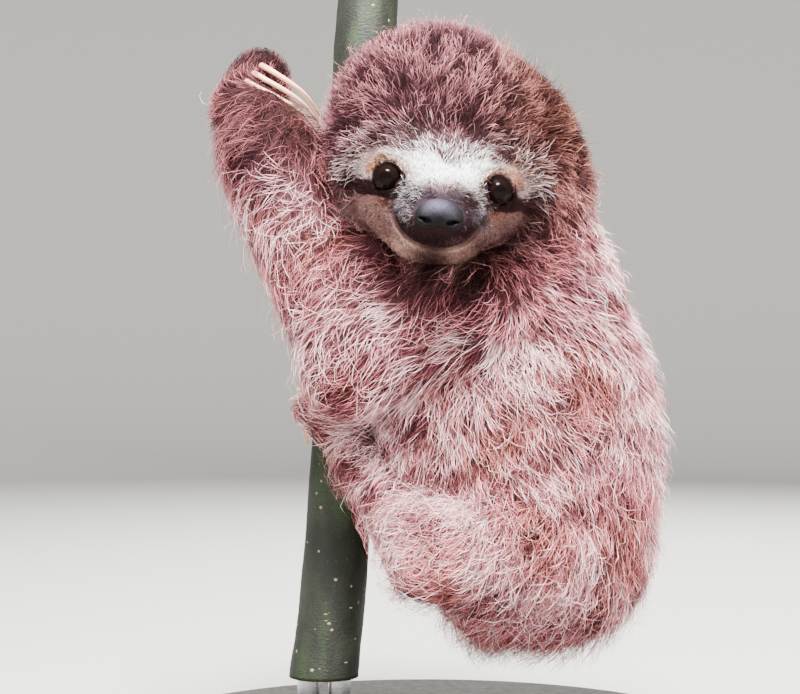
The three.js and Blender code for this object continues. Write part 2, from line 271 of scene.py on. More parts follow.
def net(distance: Callable[[Array], Array], low: Array, high: Array, step: float) -> Shell:
    """Lays a net of quads over the zero surface of a distance field.

    Args:
        distance: Field that is negative inside.
        low: Lowest corner of the box to search.
        high: Highest corner of the box to search.
        step: Width of one cell.

    Returns:
        The net as triangles, facing out.
    """
    counts = np.ceil((high - low) / step).astype(int) + 1
    grid = np.stack(np.meshgrid(*[np.arange(n) for n in counts], indexing="ij"), axis=-1).reshape(-1, 3)
    blocks = np.array_split(grid, len(grid) // BLOCK + 1)
    values = np.concatenate([distance(low + block * step) for block in blocks]).reshape(counts)
    inside = values < 0
    corners = list(np.ndindex(2, 2, 2))
    shape = tuple(counts - 1)

    def corner_block(source: Array, corner: tuple[int, ...]) -> Array:
        """The values at one corner of every cell."""
        return source[tuple(slice(c, c + n) for c, n in zip(corner, shape))]

    full = sum(corner_block(inside, c).astype(np.int8) for c in corners)
    cells = np.argwhere((full > 0) & (full < 8))
    at = {c: values[tuple((cells + c).T)] for c in corners}
    total = np.zeros((len(cells), 3))
    hits = np.zeros(len(cells))
    for a in corners:
        for axis in range(3):
            if a[axis]:
                continue
            b = tuple(np.add(a, np.eye(3, dtype=int)[axis]))
            crossed = (at[a] < 0) != (at[b] < 0)
            share = np.where(crossed, at[a] / np.where(crossed, at[a] - at[b], 1), 0)
            total += crossed[:, None] * (np.array(a) + share[:, None] * np.subtract(b, a))
            hits += crossed
    number = np.full(shape, -1)
    number[tuple(cells.T)] = np.arange(len(cells))
    quads = []
    for axis in range(3):
        b, c = (axis + 1) % 3, (axis + 2) % 3
        ahead = np.eye(3, dtype=int)
        first = tuple(slice(0, -1) if k == axis else slice(1, -1) for k in range(3))
        second = tuple(slice(1, None) if k == axis else slice(1, -1) for k in range(3))
        crossed = np.argwhere(inside[first] != inside[second]) + (1 - ahead[axis])
        around = [crossed - ahead[b] - ahead[c], crossed - ahead[c], crossed, crossed - ahead[b]]
        quad = np.stack([number[tuple(k.T)] for k in around], axis=-1)
        outward = inside[tuple(crossed.T)]
        quads.append(np.where(outward[:, None], quad, quad[:, ::-1]))
    quads = np.vstack(quads)
    faces = np.vstack([quads[:, [0, 1, 2]], quads[:, [0, 2, 3]]])
    return Shell(low + (cells + total / hits[:, None]) * step, faces)


def refined(shell: Shell, chosen: Array) -> Shell:
    """Halves every edge between two chosen vertices.

    Args:
        shell: A shell of triangles.
        chosen: True for each vertex in the area to make finer.

    Returns:
        The finer shell.
    """
    faces = shell.faces
    pairs = np.stack([faces, np.roll(faces, -1, axis=1)], axis=-1)
    cut = chosen[pairs].all(axis=-1)
    turn = np.where(cut.sum(axis=1) == 1, np.argmax(cut, axis=1), 0)
    rows = np.arange(len(faces))[:, None]
    order = (turn[:, None] + np.arange(3)) % 3
    faces, cut = faces[rows, order], cut[rows, order]
    pairs = np.sort(np.stack([faces, np.roll(faces, -1, axis=1)], axis=-1), axis=-1)
    keys, where = np.unique(pairs[cut], axis=0, return_inverse=True)
    middles = np.full(faces.shape, -1)
    middles[cut] = len(shell.vertices) + where.ravel()
    vertices = np.vstack([shell.vertices, shell.vertices[keys].mean(axis=1)])
    count = cut.sum(axis=1)
    whole, once, fully = faces[count == 0], count == 1, count == 3
    a, b, c = faces[once].T
    ab = middles[once][:, 0]
    halves = [np.stack([a, ab, c], -1), np.stack([ab, b, c], -1)]
    a, b, c = faces[fully].T
    ab, bc, ca = middles[fully].T
    fours = [np.stack(k, -1) for k in ((a, ab, ca), (ab, b, bc), (ca, bc, c), (ab, bc, ca))]
    return Shell(vertices, np.vstack([whole, *halves, *fours]))


def slope(distance: Callable[[Array], Array], points: Array, step: float = 0.15) -> tuple[Array, Array]:
    """The value of a field at points and its gradient there."""
    here = distance(points)
    ahead = [distance(points + np.eye(3)[k] * step) - here for k in range(3)]
    return here, np.stack(ahead, axis=-1) / step


def settled(shell: Shell, distance: Callable[[Array], Array], rounds: int, ease: float) -> Shell:
    """Evens out a net and draws it on to the zero surface of a field.

    Args:
        shell: A shell of triangles.
        distance: The field.
        rounds: How often to do it.
        ease: How far a vertex moves towards its neighbours' middle each time.

    Returns:
        The shell with its vertices moved.
    """
    vertices = shell.vertices.copy()
    edges = np.vstack([shell.faces[:, [k, (k + 1) % 3]] for k in range(3)])
    count = np.bincount(edges[:, 0], minlength=len(vertices))
    for _ in range(rounds):
        total = np.stack(
            [np.bincount(edges[:, 0], vertices[edges[:, 1], k], len(vertices)) for k in range(3)], axis=-1
        )
        vertices += ease * (total / count[:, None] - vertices)
        here, ahead = slope(distance, vertices)
        vertices -= (here / np.maximum((ahead**2).sum(axis=1), 0.3))[:, None] * ahead
    return Shell(vertices, shell.faces)


def vertex_normals(shell: Shell) -> Array:
    """Unit normals of a shell of triangles, weighted by area."""
    a, b, c = (shell.vertices[shell.faces[:, k]] for k in range(3))
    facing = np.cross(b - a, c - a)
    total = np.zeros_like(shell.vertices)
    for k in range(3):
        for axis in range(3):
            total[:, axis] += np.bincount(shell.faces[:, k], facing[:, axis], len(total))
    return unit(total)


# ------------------------------------------------------------------ materials


def linear(code: str) -> tuple[float, float, float, float]:
    """Turns an sRGB hex colour into a linear one with full alpha."""
    parts = [int(code[k : k + 2], 16) / 255 for k in (1, 3, 5)]
    red, green, blue = (c / 12.92 if c <= 0.04045 else ((c + 0.055) / 1.055) ** 2.4 for c in parts)
    return red, green, blue, 1.0


def tone(code: str) -> Array:
    """A hex colour as a row of three linear numbers."""
    return np.array(linear(code)[:3])


def add_node(
    tree: bpy.types.NodeTree,
    kind: str,
    inputs: Mapping[str | int, object] | None = None,
    **settings: object,
) -> bpy.types.Node:
    """Adds a node with its settings and links.

    Args:
        tree: The tree to add it to.
        kind: Blender's name for the node's type.
        inputs: Value, or output socket to link, for each input by name or number.
        **settings: Properties of the node.

    Returns:
        The node.
    """
    made = tree.nodes.new(kind)
    for key, value in settings.items():
        setattr(made, key, value)
    for key, value in (inputs or {}).items():
        if isinstance(value, bpy.types.NodeSocket):
            tree.links.new(value, made.inputs[key])
        else:
            made.inputs[key].default_value = value
    return made


def colour_ramp(
    tree: bpy.types.NodeTree, factor: object, stops: list[tuple[float, str]]
) -> bpy.types.NodeSocket:
    """Adds a colour ramp of hex colours and returns its colour."""
    made = add_node(tree, "ShaderNodeValToRGB", {"Fac": factor})
    ramp = made.color_ramp
    while len(ramp.elements) < len(stops):
        ramp.elements.new(1.0)
    for element, (position, code) in zip(ramp.elements, stops):
        element.position = position
        element.color = linear(code)
    return made.outputs["Color"]


def start_material(
    name: str, **sockets: object
) -> tuple[bpy.types.Material, bpy.types.NodeTree, bpy.types.Node]:
    """Makes a material with one Principled shader.

    Args:
        name: The material's name.
        **sockets: Values of the shader's inputs, with underscores for spaces.

    Returns:
        The material, its node tree and its shader.
    """
    material = bpy.data.materials.new(name)
    material.use_nodes = True
    tree = material.node_tree
    shader = next(n for n in tree.nodes if n.type == "BSDF_PRINCIPLED")
    for key, value in sockets.items():
        shader.inputs[key.replace("_", " ")].default_value = value
    return material, tree, shader


def local_noise(
    tree: bpy.types.NodeTree, grain: float, detail: float = 2.0, stretch: Triple = (1, 1, 1)
) -> object:
    """Noise on Object coordinates.

    Args:
        tree: The tree to add it to.
        grain: Width of one grain in millimetres.
        detail: The noise's detail.
        stretch: How much coarser the grain is along each axis.

    Returns:
        The noise's number.
    """
    place_of = add_node(tree, "ShaderNodeTexCoord").outputs["Object"]
    scale = tuple(1 / (grain * MM * k) for k in stretch)
    spread = add_node(tree, "ShaderNodeMapping", {"Vector": place_of, "Scale": scale})
    inputs = {"Vector": spread.outputs[0], "Scale": 1.0, "Detail": detail}
    return add_node(tree, "ShaderNodeTexNoise", inputs).outputs["Fac"]


def mixed(tree: bpy.types.NodeTree, factor: object, a: object, b: object, blend: str = "MIX") -> object:
    """Mixes two colours, given as hex codes or sockets, and returns the result."""
    made = add_node(tree, "ShaderNodeMix", data_type="RGBA", blend_type=blend)
    sockets = [s for s in made.inputs if s.enabled]
    for socket, value in zip(sockets, (factor, a, b)):
        if isinstance(value, bpy.types.NodeSocket):
            tree.links.new(value, socket)
        else:
            socket.default_value = linear(value) if isinstance(value, str) else value
    return next(s for s in made.outputs if s.enabled)


def ranged(
    tree: bpy.types.NodeTree, value: object, low: float, high: float, start: float, end: float
) -> object:
    """Maps a number from low..high to start..end, clamped."""
    inputs = {"Value": value, "From Min": low, "From Max": high, "To Min": start, "To Max": end}
    return add_node(tree, "ShaderNodeMapRange", inputs).outputs[0]


def bump(tree: bpy.types.NodeTree, shader: bpy.types.Node, height: object, depth: float) -> None:
    """Links a height, of the given depth in millimetres, to a shader's normal."""
    made = add_node(tree, "ShaderNodeBump", {"Height": height, "Strength": 1.0, "Distance": depth * MM})
    tree.links.new(made.outputs["Normal"], shader.inputs["Normal"])


def attribute(tree: bpy.types.NodeTree, name: str, output: str) -> object:
    """The named attribute's output."""
    return add_node(tree, "ShaderNodeAttribute", attribute_name=name).outputs[output]


@dataclass(frozen=True)
class HairFinish:
    """Coarse, grooved guard hair of keratin: a matt shaft with a soft gleam and a pale tip, partly bleached
    and partly painted highlight.
    """

    name: str
    root: str = "#241012"
    gloss: float = 0.5
    streak: float = 2.2

    def material(self) -> bpy.types.Material:
        """Makes the material; colour follows the painted markings from root to tip."""
        made, tree, shader = start_material(self.name, Roughness=self.gloss, Specular_IOR_Level=0.035)
        marking = attribute(tree, "marking", "Color")
        along = attribute(tree, "along", "Fac")
        fleck = local_noise(tree, self.streak, 2.0)
        varied = mixed(tree, ranged(tree, fleck, 0.3, 0.7, 0.0, 0.35), marking, self.root)
        # Darker towards the root: partly the hair's own darker base, partly painted shade deep in the coat.
        depth = ranged(tree, along, 0.0, 0.62, 0.94, 0.0)
        tree.links.new(mixed(tree, depth, varied, self.root), shader.inputs["Base Color"])
        return made


@dataclass(frozen=True)
class SkinFinish:
    """Bare skin under the coat, and the short flat fur of the face: matt, finely pitted and streaked."""

    grain: float = 0.45
    depth: float = 0.22

    def material(self) -> bpy.types.Material:
        """Makes the material; colour follows the painted markings."""
        made, tree, shader = start_material(
            "skin_with_flat_underfur", Roughness=0.85, Specular_IOR_Level=0.05
        )
        marking = attribute(tree, "marking", "Color")
        pile = local_noise(tree, self.grain, 4.0, (1, 1, 2.6))
        shade = mixed(tree, ranged(tree, pile, 0.35, 0.65, 0.55, 0.0), marking, "#1a0c0b")
        tree.links.new(shade, shader.inputs["Base Color"])
        bump(tree, shader, pile, self.depth)
        return made


@dataclass(frozen=True)
class EyeFinish:
    """A wet eye: a dark brown iris round a wide pupil, under a clear glossy cornea."""

    pupil: str = "#050303"
    iris: str = "#0c0504"
    rim: str = "#060303"

    def material(self) -> bpy.types.Material:
        """Makes the material; polar is the angle from the gaze as a share of half a turn."""
        made, tree, shader = start_material(
            "wet_eye",
            Roughness=0.2,
            Coat_Weight=0.12,
            Coat_Roughness=0.03,
            Coat_IOR=1.336,
            Specular_IOR_Level=0.01,
        )
        polar = attribute(tree, "polar", "Fac")
        stops = [(0.0, self.pupil), (0.11, self.pupil), (0.135, self.iris), (0.24, self.iris)]
        stops.append((0.29, self.rim))
        colour = colour_ramp(tree, polar, stops)
        fibres = ranged(tree, local_noise(tree, 0.5, 3.0), 0.35, 0.65, 0.0, 0.6)
        tree.links.new(mixed(tree, fibres, colour, self.rim), shader.inputs["Base Color"])
        return made


@dataclass(frozen=True)
class NoseFinish:
    """Bare, pebbled nose leather: slate black, with a painted bluish sheen on top where the light catches
    it.
    """

    pebble: float = 0.55

    def material(self) -> bpy.types.Material:
        """Makes the material."""
        made, tree, shader = start_material("nose_leather", Roughness=0.68, Specular_IOR_Level=0.12)
        painted_sheen = attribute(tree, "painted_sheen", "Fac")
        worn = ranged(tree, local_noise(tree, 1.1, 3.0), 0.35, 0.7, 0.0, 0.5)
        # Painted sheen: the top of the pad turns bluish grey where the light catches it.
        colour = mixed(tree, painted_sheen, "#030203", "#2f2a3a")
        tree.links.new(mixed(tree, worn, colour, "#0f0b0f"), shader.inputs["Base Color"])
        place_of = add_node(tree, "ShaderNodeTexCoord").outputs["Object"]
        inputs = {"Vector": place_of, "Scale": 1 / (self.pebble * MM)}
        cells = add_node(tree, "ShaderNodeTexVoronoi", inputs, feature="SMOOTH_F1")
        bump(tree, shader, cells.outputs["Distance"], 0.12)
        return made


@dataclass(frozen=True)
class ClawFinish:
    """Claw horn: ivory keratin, pink towards the quick, with fine lengthwise growth lines."""

    quick: str = "#a3594b"
    horn: str = "#cf9b7e"
    tip: str = "#a87a5b"
    line: str = "#a98a68"

    def material(self) -> bpy.types.Material:
        """Makes the material; along runs from the root to the tip."""
        made, tree, shader = start_material(
            "claw_horn",
            Roughness=0.34,
            Subsurface_Weight=0.12,
            Subsurface_Scale=0.002,
            Specular_IOR_Level=0.5,
        )
        along = attribute(tree, "along", "Fac")
        stops = [(0.0, self.quick), (0.45, self.horn), (0.8, self.horn), (1.0, self.tip)]
        colour = colour_ramp(tree, along, stops)
        lines = local_noise(tree, 0.35, 3.0, (6, 1, 1))
        lined = mixed(tree, ranged(tree, lines, 0.4, 0.7, 0.0, 0.4), colour, self.line)
        tree.links.new(lined, shader.inputs["Base Color"])
        bump(tree, shader, lines, 0.05)
        return made


@dataclass(frozen=True)
class BarkFinish:
    """Thin green-grey bark of a young stem: smooth, lightly fissured, with moss and pale flecks."""

    ground: str = "#14160f"
    light: str = "#1f2118"
    dark: str = "#0e0f0b"
    moss: str = "#1b2611"
    fleck: str = "#56573f"

    def material(self) -> bpy.types.Material:
        """Makes the material."""
        made, tree, shader = start_material("young_stem_bark", Roughness=0.62, Specular_IOR_Level=0.28)
        broad = local_noise(tree, 9.0, 4.0, (1, 1, 2.0))
        fine = local_noise(tree, 1.1, 5.0, (1, 1, 0.6))
        colour = colour_ramp(tree, broad, [(0.32, self.dark), (0.5, self.ground), (0.68, self.light)])
        moss = ranged(tree, local_noise(tree, 14.0, 5.0, (1, 1, 2.4)), 0.54, 0.66, 0.0, 0.8)
        colour = mixed(tree, moss, colour, self.moss)
        colour = mixed(tree, ranged(tree, fine, 0.5, 0.72, 0.0, 0.8), colour, self.dark)
        pale = ranged(tree, local_noise(tree, 0.8, 2.0), 0.7, 0.76, 0.0, 0.5)
        tree.links.new(mixed(tree, pale, colour, self.fleck), shader.inputs["Base Color"])
        bump(tree, shader, fine, 0.25)
        return made


@dataclass(frozen=True)
class CrustFinish:
    """Crust lichen: dry, powdery, cream with a pinkish cast."""

    def material(self) -> bpy.types.Material:
        """Makes the material."""
        made, tree, shader = start_material("crust_lichen", Roughness=0.9, Specular_IOR_Level=0.2)
        grain = local_noise(tree, 0.6, 3.0)
        tree.links.new(mixed(tree, grain, "#7d765c", "#55463a"), shader.inputs["Base Color"])
        bump(tree, shader, grain, 0.15)
        return made


@dataclass(frozen=True)
class CutWoodFinish:
    """End grain of the sawn stem: pale sapwood with fine year rings round the pith."""

    centre: tuple[float, float]

    def material(self, name: str) -> bpy.types.Material:
        """Makes the material for the cut end whose pith is at the centre."""
        made, tree, shader = start_material(name, Roughness=0.75, Specular_IOR_Level=0.3)
        place_of = add_node(tree, "ShaderNodeTexCoord").outputs["Object"]
        shift = (-self.centre[0] * MM, -self.centre[1] * MM, 0)
        centred = add_node(tree, "ShaderNodeMapping", {"Vector": place_of, "Location": shift})
        rings = add_node(
            tree,
            "ShaderNodeTexWave",
            {"Vector": centred.outputs[0], "Scale": 180.0, "Distortion": 1.2, "Detail": 2.0},
            wave_type="RINGS",
            rings_direction="Z",
        )
        wood = mixed(tree, rings.outputs["Fac"], "#b89a6c", "#8c6c44")
        tree.links.new(wood, shader.inputs["Base Color"])
        bump(tree, shader, rings.outputs["Fac"], 0.08)
        return made


@dataclass(frozen=True)
class LacquerFinish:
    """Turned wood under brown-black lacquer: satin, with the grain just telegraphing through."""

    def material(self) -> bpy.types.Material:
        """Makes the material."""
        made, tree, shader = start_material(
            "lacquered_wood",
            Roughness=0.32,
            Coat_Weight=0.35,
            Coat_Roughness=0.12,
            Specular_IOR_Level=0.5,
        )
        grain = local_noise(tree, 1.2, 5.0, (18, 1, 1))
        wood = mixed(tree, ranged(tree, grain, 0.3, 0.7, 0.0, 1.0), "#2f2b28", "#1b1816")
        tree.links.new(wood, shader.inputs["Base Color"])
        rough = ranged(tree, local_noise(tree, 3.0, 4.0), 0.3, 0.7, 0.26, 0.42)
        tree.links.new(rough, shader.inputs["Roughness"])
        bump(tree, shader, grain, 0.04)
        return made


@dataclass(frozen=True)
class SteelFinish:
    """Ground stainless steel rod, with fine turning marks round it."""

    def material(self) -> bpy.types.Material:
        """Makes the material."""
        made, tree, shader = start_material("ground_stainless_steel", Metallic=1.0, Roughness=0.3)
        marks = local_noise(tree, 0.12, 3.0, (40, 40, 1))
        metal = mixed(tree, marks, "#c4c6c8", "#a9acb0")
        tree.links.new(metal, shader.inputs["Base Color"])
        tree.links.new(ranged(tree, marks, 0.3, 0.7, 0.22, 0.36), shader.inputs["Roughness"])
        return made


@dataclass(frozen=True)
class PaperFinish:
    """Matt pale paper of the studio floor."""

    def material(self) -> bpy.types.Material:
        """Makes the material."""
        made, tree, shader = start_material("studio_paper", Roughness=0.9, Specular_IOR_Level=0.2)
        paper = mixed(tree, local_noise(tree, 3.0), "#8c8b88", "#93928e")
        tree.links.new(paper, shader.inputs["Base Color"])
        return made


# ------------------------------------------------------------------ anatomy


@dataclass(frozen=True)
class HeadFrame:
    """The head's own axes: x to its left, y backwards, z up."""

    origin: Triple = (5.8, -13.0, 215.8)
    roll: float = 7.0
    pitch: float = 10.0

    @property
    def turn(self) -> Array:
        """Rotation from the head's axes to the part's."""
        roll, pitch = math.radians(self.roll), math.radians(self.pitch)
        cos_r, sin_r = math.cos(roll), math.sin(roll)
        cos_p, sin_p = math.cos(pitch), math.sin(pitch)
        lean = np.array([[cos_r, 0, sin_r], [0, 1, 0], [-sin_r, 0, cos_r]])
        nod = np.array([[1, 0, 0], [0, cos_p, -sin_p], [0, sin_p, cos_p]])
        return lean @ nod

    def out(self, local: Array) -> Array:
        """Head points in the part's frame."""
        return local @ self.turn.T + np.array(self.origin)

    def into(self, points: Array) -> Array:
        """Points in the head's frame."""
        return (points - np.array(self.origin)) @ self.turn


@dataclass(frozen=True)
class Egg:
    """An ellipsoid."""

    centre: Triple
    half: Triple
    frame: HeadFrame | None = None

    def distance(self, points: Array) -> Array:
        """Signed distance, true near the surface."""
        local = self.frame.into(points) if self.frame else points
        offset = local - np.array(self.centre)
        near = np.linalg.norm(offset / np.array(self.half), axis=-1)
        lean = np.linalg.norm(offset / np.array(self.half) ** 2, axis=-1)
        return near * (near - 1) / np.maximum(lean, 1e-9)


@dataclass(frozen=True)
class Joint:
    """A joint of the posed body, with the radius of the outline round it, coat included."""

    at: Triple
    radius: float


@dataclass(frozen=True)
class Limb:
    """A limb that swells or narrows evenly from one joint to another."""

    start: Joint
    end: Joint

    def distance(self, points: Array) -> Array:
        """Signed distance."""
        start, end = np.array(self.start.at), np.array(self.end.at)
        along = end - start
        t = np.clip((points - start) @ along / (along @ along), 0, 1)
        radius = self.start.radius + (self.end.radius - self.start.radius) * t
        return np.linalg.norm(points - start - t[:, None] * along, axis=-1) - radius


@dataclass(frozen=True)
class BodyPart:
    """One part of the body and how the coat grows on it.

    lie is the way that the hair's tips point, in the part's frame; mess is how far the locks stray from
    it, in degrees.
    """

    shapes: tuple[Egg | Limb, ...]
    joins: tuple[str, ...]
    depth: float
    length: float
    width: float
    lie: Triple = (0, 0, -1)
    mess: float = 22.0


class Anatomy:
    """The body's outline, its bare skin, and which part owns each point."""

    SHAPE_BLEND = 9.0
    PART_BLEND = 11.0
    MEET = 7.0
    OWNER_BLEND = 4.0

    def __init__(self) -> None:
        """Lays out the joints and parts."""
        self.head = HeadFrame()
        neck_top, neck_base = Joint((26, 5, 194), 27), Joint((34, 8, 170), 31)
        shoulder_l, elbow_l = Joint((8, -17, 160), 22), Joint((-27, -14, 137), 15.5)
        wrist_l, palm_l = Joint((-54, 2, 208), 19.5), Joint((-63, 21.5, 230), 14.5)
        knuckle_l = Joint((-60, 30, 241), 12.5)
        shoulder_r, elbow_r = Joint((25, 32, 160), 21), Joint((3, 65, 151), 14.5)
        wrist_r, palm_r = Joint((-9, 71, 191), 13), Joint((-17, 67, 205), 11)
        knuckle_r = Joint((-24, 62, 210), 9)
        hip_l, knee_l = Joint((29, -17, 81), 26), Joint((1.5, -20, 78.5), 15.5)
        ankle_l, sole_l = Joint((-22, 3, 107), 12), Joint((-32.5, 12.5, 119), 10)
        toe_l = Joint((-40.5, 16, 124.5), 8.5)
        hip_r, knee_r = Joint((35, 32, 80), 24), Joint((5, 60, 74), 16)
        ankle_r, sole_r = Joint((-14, 64, 101), 11.5), Joint((-24, 58, 113), 10)
        toe_r = Joint((-32, 54.5, 118), 8.5)
        tail_root, tail_tip = Joint((35, 12, 60), 13), Joint((21, 18, 50), 6)
        skull = (
            ((-5, 3, -0.5), (37.5, 36, 39)),
            ((11, 12, -5), (36.5, 31, 34)),
            ((25, 17, -14), (25, 25, 26)),
            ((0, -14, -15), (31, 26, 25)),
            ((0, -38, -22), (13, 14, 11)),
            ((0, -29, -34), (14, 8.5, 5.5)),
        )
        trunk = (
            ((36, 6, 112), (46, 42, 66)),
            ((30, 10, 150), (38, 36, 37)),
            ((43, 8, 76), (36, 38, 34)),
            ((9, 2, 118), (28, 30, 40)),
            ((20, 2, 63.5), (19, 25, 16.5)),
        )
        heads = tuple(Egg(centre, half, self.head) for centre, half in skull)
        self.parts: dict[str, BodyPart] = {
            "head": BodyPart(heads, ("neck",), 4.6, 6.4, 0.25, mess=28),
            "hand_left": BodyPart(
                (Limb(palm_l, knuckle_l),), ("forearm_left",), 2.4, 5.0, 0.3, (0.2, 0.4, 0.6), 12
            ),
            "hand_right": BodyPart(
                (Limb(palm_r, knuckle_r),), ("forearm_right",), 2.2, 5.0, 0.3, (-0.6, -0.4, 0.4), 12
            ),
            "foot_left": BodyPart(
                (Limb(sole_l, toe_l),), ("shank_left",), 3.4, 13.0, 0.28, (-0.9, 0.1, -0.5), 34
            ),
            "foot_right": BodyPart(
                (Limb(sole_r, toe_r),), ("shank_right",), 2.2, 5.0, 0.3, (-0.8, -0.4, 0.2), 12
            ),
            "forearm_left": BodyPart(
                (
                    Limb(elbow_l, wrist_l),
                    Egg((-45, 8, 208), (16, 15, 18)),
                    Egg((-58, 10, 219), (18, 15, 19)),
                ),
                ("upper_arm_left", "hand_left"),
                5.2,
                13,
                0.25,
                (-0.5, 0, -0.8),
                36,
            ),
            "forearm_right": BodyPart(
                (Limb(elbow_r, wrist_r),), ("upper_arm_right", "hand_right"), 4.0, 13, 0.45, (0.2, 0.2, -0.9)
            ),
            "shank_left": BodyPart(
                (Limb(knee_l, ankle_l),), ("thigh_left", "foot_left"), 3.6, 13, 0.26, (-0.8, -0.1, -0.5), 26
            ),
            "shank_right": BodyPart(
                (Limb(knee_r, ankle_r),), ("thigh_right", "foot_right"), 3.6, 12, 0.45, (-0.5, 0.2, -0.8)
            ),
            "upper_arm_left": BodyPart(
                (Limb(shoulder_l, elbow_l), Egg((-22, -8, 171), (16, 14, 19))),
                ("forearm_left", "torso"),
                5.2,
                14,
                0.26,
                (-0.8, -0.1, -0.6),
                22,
            ),
            "upper_arm_right": BodyPart(
                (Limb(shoulder_r, elbow_r),), ("forearm_right", "torso"), 4.6, 14, 0.5, (-0.2, 0.5, -0.8)
            ),
            "thigh_left": BodyPart(
                (Limb(hip_l, knee_l),), ("shank_left", "torso"), 5.8, 15, 0.26, (-0.5, -0.1, -0.8), 42
            ),
            "thigh_right": BodyPart(
                (Limb(hip_r, knee_r),), ("shank_right", "torso"), 5.0, 14, 0.5, (-0.35, 0.4, -0.8)
            ),
            "neck": BodyPart(
                (Limb(neck_top, neck_base),), ("head", "torso"), 5.5, 11, 0.28, (0.4, 0, -0.8), 24
            ),
            "tail": BodyPart((Limb(tail_root, tail_tip),), ("torso",), 3.0, 8, 0.42, (-0.4, 0.1, -0.9), 16),
            "torso": BodyPart(
                tuple(Egg(*shape) for shape in trunk),
                ("neck", "upper_arm_left", "upper_arm_right", "thigh_left", "thigh_right", "tail"),
                6.2,
                15,
                0.25,
            ),
        }
        self.names = list(self.parts)
        self.face = Face(self.head)

    def own(self, points: Array) -> Array:
        """Distance to each part alone, one row for each part."""
        rows = []
        for part in self.parts.values():
            total = part.shapes[0].distance(points)
            for shape in part.shapes[1:]:
                total = smooth_min(total, shape.distance(points), self.SHAPE_BLEND)
            rows.append(total)
        return np.array(rows)

    def outline(self, own: Array) -> Array:
        """Distance to the coat's tips, from the parts' own distances."""
        total = np.full(own.shape[1], np.inf)
        for row, part in zip(own, self.parts.values()):
            joined = row
            for other in part.joins:
                joined = smooth_min(joined, own[self.names.index(other)], self.PART_BLEND)
            total = np.minimum(total, np.maximum(joined, row - self.MEET))
        return total

    def shares(self, own: Array) -> Array:
        """How far each part owns each point; the rows add up to one."""
        weight = np.exp(-(own - own.min(axis=0)) / self.OWNER_BLEND)
        return weight / weight.sum(axis=0)

    def blended(self, shares: Array, trait: str) -> Array:
        """A number or direction of the parts, blended by their shares."""
        return shares.T @ np.array([getattr(part, trait) for part in self.parts.values()], float)

    def skin(self, points: Array) -> Array:
        """Distance to the bare skin."""
        own = self.own(points)
        local = self.head.into(points)
        shares = self.shares(own)
        bare = self.face.bareness(local) * shares[self.names.index("head")]
        depth = self.blended(shares, "depth")
        return self.face.sculpt(local, self.outline(own) + depth + (self.face.COAT - depth) * bare)


